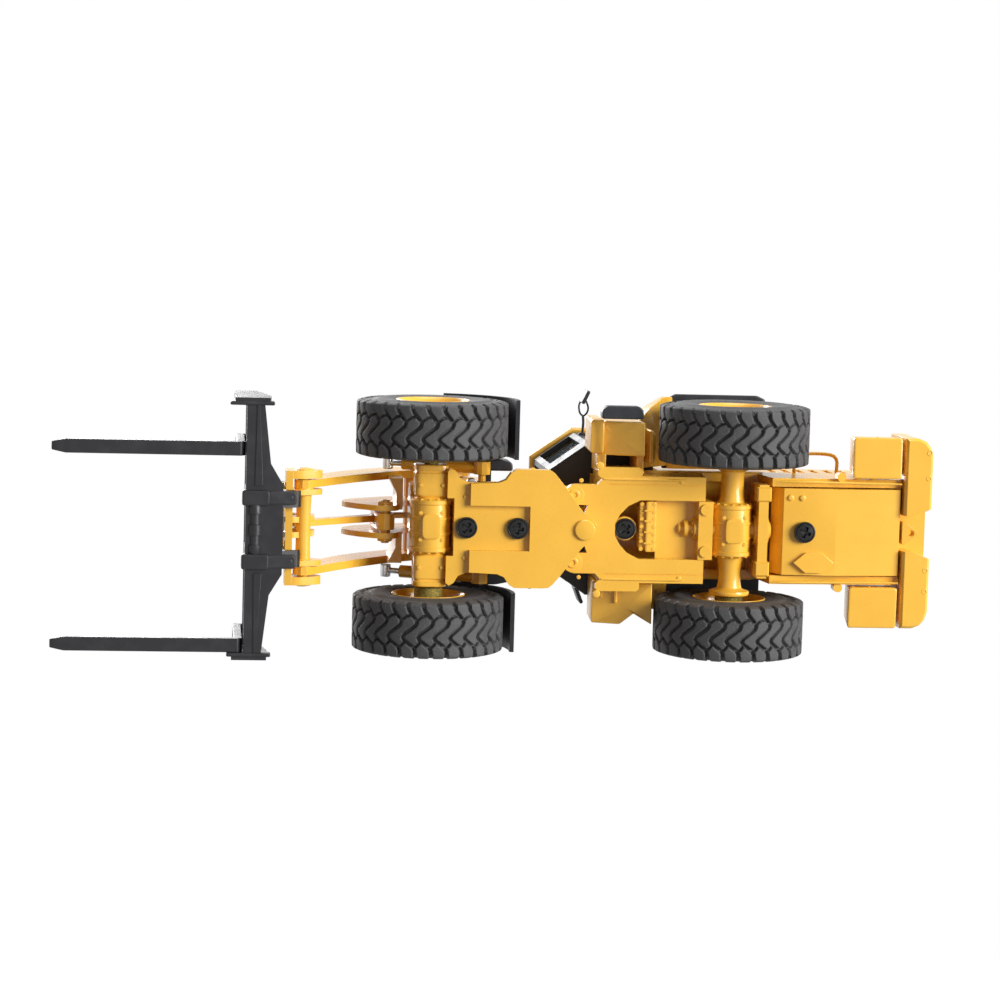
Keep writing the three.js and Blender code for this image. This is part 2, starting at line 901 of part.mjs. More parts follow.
function boom() {
  const arms = [-1, 1].map((s) => {
    const middle = (s * armSpacing) / 2;
    return alongX(armOutline(), middle - armThickness / 2, middle + armThickness / 2);
  });
  const tube = barX(
    crossTubeRadius,
    -armSpacing / 2,
    armSpacing / 2,
    -crossTubeForward,
    -crossTubeDrop,
  );
  const inner = crankHalf() + 2 * runGap;
  const plateLength = crankForward - crossTubeForward;
  const plateHeight = crankDrop - crossTubeDrop;
  const outline = rounded(
    sized(bracketShares, plateLength, plateHeight, [-crossTubeForward, -crossTubeDrop]),
    eyeRadius * 1.5,
  );
  const brackets = [-1, 1].map((s) => {
    const ends = [s * inner, s * (inner + bracketThickness)].sort((a, b) => a - b);
    return alongX(outline, ...ends);
  });
  const tiltEars = [-1, 1].map((s) => {
    const ends = [s * (barrelRadius + runGap), s * (barrelRadius + runGap + bracketThickness)];
    const ear = ribbon(
      [
        [0, 0],
        [-tiltBaseForward / 2, -tiltBaseDrop / 2],
        [-tiltBaseForward, -tiltBaseDrop],
      ],
      [eyeRadius * 1.2, eyeRadius, eyeRadius * 0.8],
      4,
    );
    return alongX(ear, ...ends.sort((a, b) => a - b));
  });
  const crossPlates = [-1, 1].map((s) => {
    const back = -crossPlateForward;
    const front = back - crossPlateThickness;
    const arm = (s * armSpacing) / 2;
    const fillet = s * armThickness;
    const plan = [
      [s * inner, back],
      [arm, back],
      [arm, front - armThickness],
      [arm - fillet, front - armThickness / 2],
      [arm - 2 * fillet, front],
      [s * inner, front],
    ];
    return alongZ(plan, -crossPlateTop - crossPlateHeight, -crossPlateTop);
  });
  const tiltPin = barX(
    cylinderPinRadius,
    -barrelRadius - overrun,
    barrelRadius + overrun,
    -tiltBaseForward,
    -tiltBaseDrop,
  );
  const crankPin = barX(pinRadius, -inner - overrun, inner + overrun, -crankForward, -crankDrop);
  const far = armSpacing;
  const pivotTube = barX(
    pinRadius * 1.5,
    -armSpacing / 2 - armThickness,
    armSpacing / 2 + armThickness,
  );
  const couplerBore = barX(pinRadius + runGap, -far, far, -boomReach, -boomDrop);
  const frame = [...arms, tube, pivotTube, ...brackets, ...crossPlates];
  const body = join([...frame, ...tiltEars, tiltPin, crankPin]);
  return piece("boom", cut(body, [couplerBore]), yellowPaint());
}

function crankHalf() {
  return linkThickness / 2 + runGap + cheekThickness;
}

function crank() {
  const half = crankHalf();
  const up = Math.sqrt(crankArm * crankArm - crankLean * crankLean);
  const spine = [
    [0, 0],
    [(crankLean * crankTopShare) / 2, (up * crankTopShare) / 2],
    [crankLean * crankTopShare, up * crankTopShare],
  ];
  const outline = ribbon(spine, [eyeRadius * 1.1, eyeRadius * 0.9, eyeRadius * 0.7], 6);
  const room = linkThickness / 2 + runGap;
  const slot = box(
    [-room, room],
    [-crankArm, crankArm],
    [eyeRadius * 1.15, crankArm * 2],
  );
  const pin = barX(pinRadius * 0.7, -half, half, crankLean, up, 12);
  const hub = cut(alongX(outline, -half, half), [slot]);
  const bore = barX(pinRadius + runGap, -half - overrun, half + overrun);
  return piece("bell_crank", cut(join([hub, pin]), [bore]), yellowPaint());
}

function linkPinUp() {
  return Math.sqrt(crankArm * crankArm - crankLean * crankLean);
}

function tiltLink() {
  const forward = boomReach - crankForward;
  const down = boomDrop - crankDrop;
  const spine = [
    [0, 0],
    [-forward / 2, -down / 2],
    [-forward, -down],
  ];
  const wide = eyeRadius * 0.75;
  const body = alongX(
    ribbon(spine, [wide, wide * 0.75, wide], 6),
    -linkThickness / 2,
    linkThickness / 2,
  );
  const bore = pinRadius * 0.7 + runGap;
  return piece(
    "tilt_link",
    cut(body, [
      barX(bore, -linkThickness, linkThickness, 0, 0, 12),
      barX(bore, -linkThickness, linkThickness, -forward, -down, 12),
    ]),
    yellowPaint(),
  );
}

// Coupler
const cheekShares = [
  [0.6, -0.3],
  [1, -0.1],
  [1, 0.35],
  [0.4, 0.62],
  [-0.9, 0.75],
  [-0.9, -0.62],
  [-0.2, -0.62],
];
const clevisDepth = 4.2;
const clevisHeight = 5.4;

function coupler() {
  const plateFront = -couplerPlateForward - couplerPlateThickness;
  const narrow = armSpacing / 2 - armThickness / 2 - runGap;
  const plateOutline = bothSides([
    [clevisOuter, -couplerBottom],
    [clevisOuter, clevisHeight * 0.75],
    [narrow, clevisHeight],
    [narrow, couplerTop],
  ]);
  const plate = alongY(plateOutline, plateFront, -couplerPlateForward);
  const window = box(
    [-clevisInner * 0.7, clevisInner * 0.7],
    [plateFront - overrun, 0],
    [couplerTop * 0.28, couplerTop * 0.8],
  );
  const cheekOutline = rounded(sized(cheekShares, clevisDepth, clevisHeight), eyeRadius / 2);
  const innerFace = armSpacing / 2 - armThickness / 2 - runGap;
  const outerFace = armSpacing / 2 + armThickness / 2 + runGap;
  const cheeks = [-1, 1].flatMap((s) => [
    alongX(cheekOutline, ...[s * clevisInner, s * innerFace].sort((a, b) => a - b)),
    alongX(cheekOutline, ...[s * outerFace, s * clevisOuter].sort((a, b) => a - b)),
  ]);
  const pins = barX(pinRadius, -clevisOuter - overrun, clevisOuter + overrun, 0, 0);
  const tube = barX(couplerTubeRadius, -clevisInner, clevisInner);
  const topBar = barX(
    couplerTubeRadius,
    -narrow,
    narrow,
    -couplerPlateForward - couplerPlateThickness / 2,
    couplerTop,
  );
  const up = linkPinUp();
  const ears = [-1, 1].map((s) => {
    const inner = linkThickness / 2 + runGap;
    const ends = [s * inner, s * (inner + bracketThickness)].sort((a, b) => a - b);
    const outline = ribbon(
      [
        [-couplerPlateForward, 0],
        [-crankLean, up / 2],
        [crankLean, up],
      ],
      [eyeRadius, eyeRadius, eyeRadius * 0.8],
      5,
    );
    return alongX(outline, ...ends);
  });
  const linkPin = barX(pinRadius * 0.7, -eyeRadius, eyeRadius, crankLean, up, 12);
  const body = join([cut(plate, [window]), ...cheeks, pins, tube, topBar, ...ears, linkPin]);
  return piece("coupler", body, yellowPaint());
}

// Fork carriage
const carriageRearShares = [
  [1, 0.22],
  [0.94, 0.48],
  [0.5, 0.66],
  [0.34, 1],
];
const endPlateShares = [
  [-0.32, 0],
  [0.62, 0],
  [0.66, 0.3],
  [0.3, 1.06],
  [-0.32, 1.06],
];
const hookShares = [
  [0.1, 0],
  [0.9, 0.02],
  [1.42, 0.1],
  [1.5, 0.16],
  [1.1, 0.16],
  [0.95, 0.3],
  [0.5, 0.4],
  [0.1, 0.5],
];

function carriage() {
  const front = -carriageForward;
  const bottom = -carriageBottom;
  const top = bottom + carriageHeight;
  const flange = alongZ(
    bothSides([
      [carriageHalf, front],
      ...sized(carriageRearShares, carriageHalf, carriageDepth, [0, front]),
    ]),
    bottom,
    bottom + carriageWall,
  );
  const wide = carriageHalf - endPlateThickness / 2;
  const lower = box([-wide, wide], [front, front + carriageWall * 2], [bottom, bottom + 3 * carriageWall]);
  const upper = box([-wide, wide], [front, front + carriageWall * 1.4], [top - 3 * carriageWall, top]);
  const ends = [-1, 1].map((s) => {
    const faces = [s * (carriageHalf - endPlateThickness), s * carriageHalf];
    return alongX(
      sized(endPlateShares, carriageDepth, carriageHeight, [front, bottom]),
      ...faces.sort((a, b) => a - b),
    );
  });
  const uprights = [-1, 1].map((s) => {
    const faces = [s * hookSide - hookWidth / 2, s * hookSide + hookWidth / 2];
    return box(faces, [front, front + carriageWall * 1.4], [bottom, top]);
  });
  const plateFront = -couplerPlateForward - couplerPlateThickness;
  const hooks = [-1, 1].map((s) => {
    const faces = [s * hookSide - hookWidth / 2, s * hookSide + hookWidth / 2];
    const low = alongX(
      sized(hookShares, carriageDepth, carriageHeight, [front, bottom - 0]),
      ...faces,
    );
    const upperHook = box(
      faces,
      [front, plateFront + couplerPlateThickness / 2],
      [couplerTop + couplerTubeRadius + seatGap, couplerTop + couplerTubeRadius + seatGap + carriageWall],
    );
    const riser = box(
      faces,
      [front, front + carriageWall * 1.4],
      [bottom, couplerTop + couplerTubeRadius + seatGap + carriageWall],
    );
    return join([low, upperHook, riser]);
  });
  const cutter = alongX(
    [
      [plateFront - seatGap, -couplerBottom - seatGap],
      [carriageForward, -couplerBottom - seatGap],
      [carriageForward, couplerTop + couplerTubeRadius + seatGap / 2],
      [plateFront - seatGap, couplerTop + couplerTubeRadius + seatGap / 2],
    ],
    -carriageHalf,
    carriageHalf,
  );
  const body = join([flange, lower, upper, ...ends, ...uprights, ...hooks]);
  return piece("fork_carriage", cut(body, [cutter]), blackPaint());
}

function fork(name, side) {
  const back = -carriageForward - seatGap;
  const face = back - forkThickness;
  const bottom = -carriageBottom + seatGap;
  const tip = back - forkLength;
  const outline = [
    [back, bottom + forkThickness / 2],
    [back, bottom + shankHeight],
    [face, bottom + shankHeight],
    [face, bottom + forkThickness],
    [tip + forkLength * 0.3, bottom + forkThickness],
    [tip, bottom + forkThickness * 0.45],
    [tip, bottom + forkThickness * 0.2],
    [tip + forkLength * 0.05, bottom],
    [back - forkThickness / 2, bottom],
  ];
  const hook = box(
    [-forkWidth / 2, forkWidth / 2],
    [face, -carriageForward + carriageWall],
    [
      -carriageBottom + carriageHeight + seatGap,
      -carriageBottom + shankHeight + seatGap,
    ],
  );
  const plan = [
    [-forkWidth / 2, back + overrun],
    [-forkWidth / 2, tip + forkWidth],
    [-forkWidth * 0.3, tip],
    [forkWidth * 0.3, tip],
    [forkWidth / 2, tip + forkWidth],
    [forkWidth / 2, back + overrun],
  ];
  const blade = alongX(outline, -forkWidth / 2, forkWidth / 2).intersect(
    alongZ(plan, bottom - overrun, bottom + shankHeight + overrun),
  );
  const mesh = piece(name, join([blade, hook]), blackPaint());
  mesh.position.x = side;
  return mesh;
}

// Rear body
const rearNoseShares = [
  [0.24, -0.1],
  [0.8, 0],
  [1, 0.09],
  [1, 1],
];
const openingShares = [
  [0.2, 0],
  [0.5, 0.05],
  [0.8, 0.14],
  [1, 0.27],
  [1, 1],
];
const archShare = 0.72; // of the rails' height
const railRiseShare = 0.1;
const tailRiseShare = 0.16;

function railOutline() {
  const height = railTop - rearPlateBottom;
  const at = (share) => rearPlateBottom + share * height;
  const near = hitchToAxle - archHalf;
  const far = hitchToAxle + archHalf;
  return [
    [wallStart, rearPlateBottom],
    [near, rearPlateBottom],
    [near + archSlope, at(archShare)],
    [far, at(archShare)],
    [far + archSlope, at(railRiseShare)],
    [railEnd, at(tailRiseShare)],
    [railEnd, railTop],
    [wallStart, railTop],
  ];
}

function rearFrame() {
  const bottom = rearPlateBottom;
  const top = bottom + plateThickness;
  const outline = bothSides(sized(rearNoseShares, rearHalf, rearPlateLength, [0, rearPlateStart]));
  const ears = [-1, 1].map((s) =>
    barZ(earRadius, bottom, top, s * steerEarSide, -steerEarForward),
  );
  const earArms = [-1, 1].map((s) =>
    box(
      [s * steerEarSide - earRadius, s * steerEarSide + earRadius],
      [-steerEarForward, rearPlateStart + earRadius],
      [bottom, top],
    ),
  );
  const plate = join([
    alongZ(outline, bottom, top),
    barZ(noseRadius, bottom, top),
    box([-noseRadius, noseRadius], [0, rearPlateStart + noseRadius], [bottom, top]),
    ...ears,
    ...earArms,
  ]);
  const openingEnd = rearPlateStart + rearPlateLength + overrun;
  const openingPlan = bothSides(
    sized(openingShares, openingHalf, openingEnd - openingStart, [0, openingStart]),
  );
  const opening = alongZ(openingPlan, bottom - overrun, top + overrun);
  const rails = [-1, 1].map((s) => {
    const faces = [s * (rearHalf - railThickness), s * rearHalf].sort((a, b) => a - b);
    return alongX(railOutline(), ...faces);
  });
  const inside = rearHalf - railThickness + overrun;
  const frontWall = box(
    [-inside, inside],
    [wallStart, wallStart + plateThickness],
    [bottom, lugTop],
  );
  const upperPlan = bothSides(
    sized(
      [
        [0.25, 0],
        [1, 0.3],
        [1, 1],
      ],
      inside,
      openingStart * 1.5,
      [0, rearPlateStart],
    ),
  );
  const upperLug = join([
    alongZ(upperPlan, lugTop - plateThickness, lugTop),
    barZ(noseRadius, lugTop - plateThickness, lugTop),
    box([-noseRadius, noseRadius], [0, rearPlateStart * 2], [lugTop - plateThickness, lugTop]),
  ]);
  const deck = box([-inside, inside], [wallStart, railEnd], [railTop - plateThickness, railTop]);
  const trunnionLow = wheelHubZ() - axleBossRadius * 2;
  const frontTrunnion = hitchToAxle - trunnionSide - trunnionLength;
  const frontHanger = box(
    [-trunnionHalf, trunnionHalf],
    [frontTrunnion, frontTrunnion + trunnionLength],
    [trunnionLow, railTop - overrun],
  );
  const barMiddle = trunnionStart + trunnionLength / 2;
  const rearHanger = join([
    box(
      [-inside, inside],
      [barMiddle - trunnionBar / 2, barMiddle + trunnionBar / 2],
      [trunnionLow, railTop - overrun],
    ),
    barY(
      axleBossRadius * 1.6,
      trunnionStart,
      trunnionStart + trunnionLength,
      0,
      wheelHubZ(),
    ),
  ]);
  const pad = (x, y, across) =>
    box(
      [x - across / 2, x + across / 2],
      [y - trunnionLength / 2, y + trunnionLength / 2],
      [trunnionLow - screwHeight / 2, trunnionLow + trunnionLength],
      hoodEdge / 4,
    );
  const boltPads = [-1, 1].flatMap((s) => [
    pad(s * (inside - trunnionLength / 2 - overrun), barMiddle, trunnionLength),
    barZ(
      trunnionLength * 0.4,
      trunnionLow - screwHeight / 2,
      wheelHubZ(),
      s * diffRadius,
      frontTrunnion + trunnionLength / 2,
      12,
    ),
  ]);
  const tabs = [-1, 1].map((s) => {
    const edge = s * (rearHalf - overrun);
    const end = s * (rearHalf + tabReach);
    const y = rearPlateStart + overrun;
    const plan = rounded(
      [
        [edge, y],
        [end, y],
        [end, y + tabLength],
        [edge, y + tabLength],
      ],
      tabReach / 3,
      1,
    );
    return alongZ(plan, bottom, bottom + tabHeight);
  });
  const lugs = [-1, 1].map((s) =>
    barZ(
      lugRadius,
      bottom + overrun,
      bottom + trunnionLength,
      s * (rearHalf + lugRadius / 2),
      hitchToAxle + lugBehind,
    ),
  );
  const post = barZ(postRadius, rearPlateBottom + 2 * screwHeight + seatGap, railTop - overrun, 0, postBack);
  const seam = [-1, 1].map((s) => {
    const edge = s * (rearHalf - railThickness);
    return box(
      [edge - seatGap / 2, edge + seatGap / 2],
      [rearPlateStart + earRadius, openingEnd],
      [bottom - overrun, bottom + seatGap],
    );
  });
  const steerPins = [-1, 1].map((s) =>
    barZ(cylinderPinRadius, bottom, steerZ + barrelRadius, s * steerEarSide, -steerEarForward, 12),
  );
  const tailWall = box(
    [-inside, inside],
    [railEnd - tailThickness, railEnd],
    [bottom + bellyRise + plateThickness * 0.7 + seatGap, railTop],
  );
  const bores = [
    barZ(hitchPinRadius + runGap, 0, lugTop + overrun),
    barY(
      axleBossRadius + runGap,
      frontTrunnion - overrun,
      trunnionStart + trunnionLength + overrun,
      0,
      wheelHubZ(),
    ),
  ];
  const body = join([
    cut(plate, [opening]),
    ...rails,
    ...tabs,
    ...lugs,
    frontWall,
    upperLug,
    deck,
    frontHanger,
    rearHanger,
    post,
    ...boltPads,
    ...steerPins,
    tailWall,
  ]);
  return piece("rear_frame", cut(body, [...bores, ...seam]), yellowPaint());
}

function bellyPan() {
  const wall = plateThickness * 0.7;
  const low = rearPlateBottom;
  const rise = bellyRise;
  const knee = low + rise * 0.6;
  const profile = [
    [bellyStart - bellyRun, knee + bellyNose],
    [bellyStart - bellyRun * 0.4, knee + bellyNose * 0.3],
    [bellyStart, knee],
    [bellyFold, low],
    [bellyEnd, low + rise],
    [bellyEnd, low + rise + wall],
    [bellyFold, low + wall],
    [bellyStart + wall / 2, knee + wall],
    [bellyStart - bellyRun * 0.4 + wall / 2, knee + bellyNose * 0.3 + wall],
    [bellyStart - bellyRun + wall, knee + bellyNose],
  ];
  const hatchPlan = sized(
    [
      [-1, 0.3],
      [0, 0],
      [1, 0.3],
      [1, 0.7],
      [0, 1],
      [-1, 0.7],
    ],
    hatchHalf,
    hatchLength,
    [-hatchSide, bellyFold - hatchLength - overrun],
  );
  const hatch = alongZ(hatchPlan, low - hatchHeight + rise * 0.1, low + wall);
  const walls = [-1, 1].map((s) => {
    const faces = [s * (bellyHalf - wall), s * bellyHalf].sort((a, b) => a - b);
    const back = railEnd - tailThickness - seatGap;
    return box(faces, [bellyStart, back], [low + rise, low + rise + 3 * wall]);
  });
  const body = join([alongX(profile, -bellyHalf, bellyHalf), hatch, ...walls]);
  return piece("belly_pan", body, yellowPaint());
}

const weightShares = [
  [1, 0],
  [1, 0.45],
  [0.97, 0.72],
  [0.91, 0.9],
  [0.82, 1],
];
const notchDepthShare = 0.3; // of the weight's length, where the notch begins to widen
const notchMouthShare = 1.45; // of the notch's half width

function counterweight() {
  const outline = bothSides(sized(weightShares, weightHalf, weightLength, [0, weightStart]));
  const body = alongZ(outline, weightBottom, weightTop, hoodEdge / 2);
  const dimpleY = weightStart + weightLength;
  const dimples = [-1, 1].flatMap((s) =>
    [0.42, 0.74].map((share) =>
      barY(
        screwHeight / 2,
        dimpleY - overrun,
        dimpleY + overrun,
        s * share * weightHalf,
        weightBottom + towHeight,
        12,
      ),
    ),
  );
  const widens = weightStart + weightLength * notchDepthShare;
  const notchPlan = bothSides([
    [notchHalf, weightStart - overrun],
    [notchHalf, widens],
    [notchHalf * notchMouthShare, dimpleY + overrun],
  ]);
  const notch = alongZ(notchPlan, weightBottom - overrun, notchTop);
  return piece("counterweight", cut(body, [notch, ...dimples]), yellowPaint());
}

const towShares = [
  [1, 0],
  [0.95, 0.2],
  [0.2, 0.94],
  [0, 1],
];

function towHitch() {
  const low = weightBottom + towHeight / 2;
  const half = towHeight / 2;
  const plan = sized(towShares, towHalf, towLength, [0, weightStart]);
  const left = plan.slice(0, -1).map(([x, y]) => [-x, y]);
  const lug = alongZ([...plan, ...left.reverse()], low, low + towHeight);
  const holeY = weightStart + towLength * 0.55;
  const hole = barZ(half / 2, low - overrun, low + towHeight + overrun, 0, holeY, 12);
  return piece("tow_hitch", cut(lug, [hole]), yellowPaint());
}

function sideBox(name, s) {
  const faces = [s * boxInner, s * boxOuter].sort((a, b) => a - b);
  const body = box(faces, [boxStart, boxStart + boxLength], [boxBottom, boxTop], hoodEdge / 2);
  return piece(name, body, yellowPaint());
}

const hoodShares = [
  [0, 0],
  [1, 0],
  [1, 0.8],
  [0.93, 0.94],
  [0.3, 1],
  [0, 1],
];

function hood() {
  const bottom = railTop + seatGap;
  const length = hoodEnd - hoodStart;
  const body = alongX(
    sized(hoodShares, length, hoodHeight, [hoodStart, bottom]),
    -hoodHalf,
    hoodHalf,
    hoodEdge,
  );
  const slots = [-1, 1].flatMap((s) =>
    Array.from({ length: 6 }, (_, i) => {
      const y = hoodStart + length * (0.5 + 0.06 * i);
      const faces = [s * (hoodHalf - overrun), s * (hoodHalf + overrun)].sort((a, b) => a - b);
      return box(faces, [y, y + length * 0.025], [bottom + hoodHeight * 0.35, bottom + hoodHeight * 0.8]);
    }),
  );
  const cleanerY = hoodStart + length * 0.2;
  const cleanerX = hoodHalf * 0.45;
  const top = bottom + hoodHeight;
  const cleaner = join([
    barZ(stackRadius * 1.6, top - overrun, bottom + hoodHeight * 1.16, cleanerX, cleanerY),
    barZ(stackRadius * 2.2, bottom + hoodHeight * 1.12, bottom + hoodHeight * 1.26, cleanerX, cleanerY),
  ]);
  return piece("hood", join([cut(body, slots), cleaner]), yellowPaint());
}

function grille() {
  const low = railTop + hoodHeight * 0.22;
  const y = hoodEnd + seatGap;
  const plate = box([-grilleHalf, grilleHalf], [y, y + grilleThickness], [low, low + grilleHeight]);
  const count = 6;
  const pitch = grilleHeight / count;
  const slots = Array.from({ length: count }, (_, i) => {
    const z = low + pitch * (i + 0.35);
    return box(
      [-grilleHalf * 0.9, grilleHalf * 0.9],
      [y + grilleThickness / 2, y + grilleThickness + overrun],
      [z, z + pitch * 0.4],
    );
  });
  return piece("radiator_grille", cut(plate, slots), blackPaint());
}

function exhaustStack() {
  const bottom = railTop + hoodHeight + 2 * seatGap;
  const x = -hoodHalf * 0.45;
  const y = hoodStart + (hoodEnd - hoodStart) * 0.26;
  const body = join([
    barZ(stackRadius * 1.5, bottom, bottom + stackHeight * 0.3, x, y, 16),
    barZ(stackRadius, bottom, bottom + stackHeight, x, y, 16),
  ]);
  const bore = barZ(stackRadius * 0.7, bottom + stackHeight * 0.5, bottom + stackHeight + overrun, x, y, 12);
  return piece("exhaust_stack", cut(body, [bore]), blackPaint());
}

// Cab
const cabPlanShares = [
  [0.63, 0],
  [1, 0.38],
  [1, 1],
];

function cabPlan(inset) {
  const plan = sized(cabPlanShares, cabHalf - inset, cabLength - 2 * inset, [0, cabFront + inset]);
  return bothSides(plan);
}

function cabFrame() {
  const top = cabBottom + cabHeight;
  const sill = cabBottom + sillHeight;
  const shell = alongZ(cabPlan(0), cabBottom, top);
  const hollow = alongZ(cabPlan(cabWall), cabBottom + cabWall, top + overrun);
  const windowTop = top - cabWall;
  const back = cabFront + cabLength;
  const knee = cabFront + cabPlanShares[1][1] * cabLength;
  const frontHalf = cabPlanShares[0][0] * cabHalf;
  const through = cabHalf * 2;
  const sideWindows = alongX(
    [
      [knee + pillarWidth, sill],
      [back - pillarWidth * 5, sill],
      [back - pillarWidth * 5, windowTop],
      [knee + pillarWidth, windowTop],
    ],
    -through,
    through,
  );
  const rearSide = alongX(
    [
      [back - pillarWidth * 4, sill],
      [back - pillarWidth, sill],
      [back - pillarWidth, windowTop],
      [back - pillarWidth * 4, windowTop],
    ],
    -through,
    through,
  );
  const endWindows = box(
    [-frontHalf + pillarWidth, frontHalf - pillarWidth],
    [cabFront - overrun, back + overrun],
    [sill, windowTop],
  );
  const corner = Math.atan2(knee - cabFront, cabHalf - frontHalf);
  const middle = [(cabHalf + frontHalf) / 2, (knee + cabFront) / 2];
  const cornerLength = Math.hypot(knee - cabFront, cabHalf - frontHalf) - 2 * pillarWidth;
  const cornerWindows = [-1, 1].map((s) => {
    const cutter = new THREE.BoxGeometry(cornerLength, cabWall * 4, windowTop - sill);
    cutter.rotateZ(s * corner);
    cutter.translate(s * middle[0], middle[1], (windowTop + sill) / 2);
    return solid(cutter);
  });
  const body = cut(shell, [hollow, sideWindows, rearSide, endWindows, ...cornerWindows]);
  return piece("cab_frame", body, blackPaint());
}

function cabGlazing() {
  const outer = cabWall + seatGap;
  const inner = outer + glassThickness;
  const low = cabBottom + cabWall + seatGap;
  const top = cabBottom + cabHeight;
  const body = cut(alongZ(cabPlan(outer), low, top), [
    alongZ(cabPlan(inner), low - overrun, top + overrun),
  ]);
  return piece("cab_glazing", body, glass());
}

function cabRoof() {
  const low = cabBottom + cabHeight + seatGap;
  const body = alongZ(cabPlan(-roofOverhang), low, low + roofThickness, hoodEdge / 2);
  return piece("cab_roof", body, yellowPaint());
}

function seat() {
  const low = cabBottom + cabWall + seatGap;
  const back = cabFront + cabLength - cabWall * 4;
  const across = [-seatWidth / 2, seatWidth / 2];
  const body = join([
    box(
      [-seatWidth / 4, seatWidth / 4],
      [back - seatDepth * 0.8, back - seatDepth * 0.2],
      [low, low + seatHeight * 0.4],
    ),
    box(across, [back - seatDepth, back], [low + seatHeight * 0.35, low + seatHeight * 0.55], hoodEdge / 3),
    box(across, [back - seatDepth * 0.25, back], [low + seatHeight * 0.45, low + seatHeight * 1.5], hoodEdge / 3),
  ]);
  return piece("seat", body, blackPaint());
}

function steeringColumn() {
  const low = cabBottom + cabWall + seatGap;
  const y = cabFront + cabLength * 0.3;
  const column = barZ(stackRadius, 0, seatHeight, 0, 0, 12);
  const ring = cut(
    barZ(wheelRingRadius, seatHeight, seatHeight + stackRadius / 2, 0, 0, 20),
    [barZ(wheelRingRadius * 0.75, seatHeight - overrun, seatHeight + stackRadius, 0, 0, 20)],
  );
  const spoke = box(
    [-wheelRingRadius * 0.9, wheelRingRadius * 0.9],
    [-stackRadius / 2, stackRadius / 2],
    [seatHeight - stackRadius / 4, seatHeight + stackRadius / 2],
  );
  const mesh = piece("steering_column", join([column, ring, spoke]), blackPaint());
  mesh.position.set(0, y, low);
  return mesh;
}

const stepShares = [
  [0, 0],
  [1, 0],
  [1, 0.35],
  [0.88, 0.35],
  [0.88, 0.68],
  [0.76, 0.68],
  [0.76, 1],
  [0, 1],
];

function stepBlock(s, outer, start, length) {
  const inner = rearHalf + seatGap;
  const profile = sized(stepShares, s * (outer - inner), stepTop - stepBottom, [s * inner, stepBottom]);
  return alongY(profile, start, start + length);
}

function leftStep() {
  const inner = rearHalf + seatGap;
  const wide = stepOuter - inner;
  const slots = [0.12, 0.7].map((share) =>
    box(
      [inner + wide * share, inner + wide * (share + 0.07)],
      [stepStart + stepLength * 0.24, stepStart + stepLength * 0.8],
      [stepBottom - overrun, stepBottom + overrun],
    ),
  );
  const recess = box(
    [inner + wide * 0.28, inner + wide * 0.62],
    [stepStart + stepLength * 0.16, stepStart + stepLength * 0.86],
    [stepBottom - overrun, stepBottom + seatGap * 2],
  );
  const block = stepBlock(1, stepOuter, stepStart, stepLength);
  return piece("left_step", cut(block, [...slots, recess]), yellowPaint());
}

// The right tank has a notch in its outer edge and two ribs below.
function rightStep() {
  const inner = rearHalf + seatGap;
  const wide = tankOuter - inner;
  const end = tankStart + tankLength;
  const notch = alongZ(
    [
      [-tankOuter - overrun, tankStart + tankLength * 0.49],
      [-tankOuter, tankStart + tankLength * 0.5],
      [-tankOuter + wide * 0.26, tankStart + tankLength * 0.73],
      [-tankOuter, end - tankLength * 0.03],
      [-tankOuter - overrun, end],
    ],
    stepBottom - overrun,
    stepTop,
  );
  const ribs = [0.12, 0.44].map((share) =>
    box(
      [-inner - wide * 0.5, -inner - overrun],
      [tankStart + tankLength * share, tankStart + tankLength * share + plateThickness / 2],
      [stepBottom - hatchHeight, stepBottom + overrun],
    ),
  );
  const block = cut(stepBlock(-1, tankOuter, tankStart, tankLength), [notch]);
  return piece("right_step", join([block, ...ribs]), yellowPaint());
}

// The tread of the left step: a bent plate on the step's outer face.
function leftTread() {
  const inner = stepOuter + seatGap;
  const low = stepBottom;
  const lip = treadThickness * 0.7;
  const profile = [
    [inner, low],
    [treadOuter - lip / 2, low],
    [treadOuter, low + lip / 2],
    [treadOuter, low + 2 * treadThickness],
    [treadOuter - lip, low + 2 * treadThickness],
    [treadOuter - lip, low + treadThickness],
    [inner + lip, low + treadThickness],
    [inner + lip, low + 3 * treadThickness],
    [inner, low + 3 * treadThickness],
  ];
  const body = alongY(profile, treadStart, treadStart + treadLength);
  return piece("left_tread", body, blackPaint());
}

const rearFenderReach = tyreRadius + fenderGap + fenderThickness;
const rearFenderFrom = -Math.asin((hitchToAxle - cabBack - fenderClearance) / rearFenderReach);
const rearFenderTo = THREE.MathUtils.degToRad(30);

function rearFender(name, s) {
  const faces = [s * (hoodHalf + seatGap), s * fenderOuter].sort((a, b) => a - b);
  const arc = fenderArc(tyreRadius + fenderGap, rearFenderFrom, rearFenderTo, ...faces);
  const mesh = piece(name, arc, blackPaint());
  mesh.position.set(0, wheelbase / 2, tyreRadius);
  return mesh;
}

function handrail() {
  const x0 = hoodHalf + seatGap;
  const x1 = x0 + railingRadius * 9;
  const z = railTop + hoodHeight * 0.15;
  const y0 = bellyStart + railingRadius * 12;
  const y1 = boxStart + railingRadius;
  const r = railingRadius * 2;
  const path = [
    [x0, y0, z],
    [x1 - r, y0, z],
    [x1, y0 + r, z],
    [x1, y1 - r, z],
    [x1 - r, y1, z],
    [x0, y1, z],
  ];
  return piece("handrail", bentBar(path, railingRadius), yellowPaint());
}

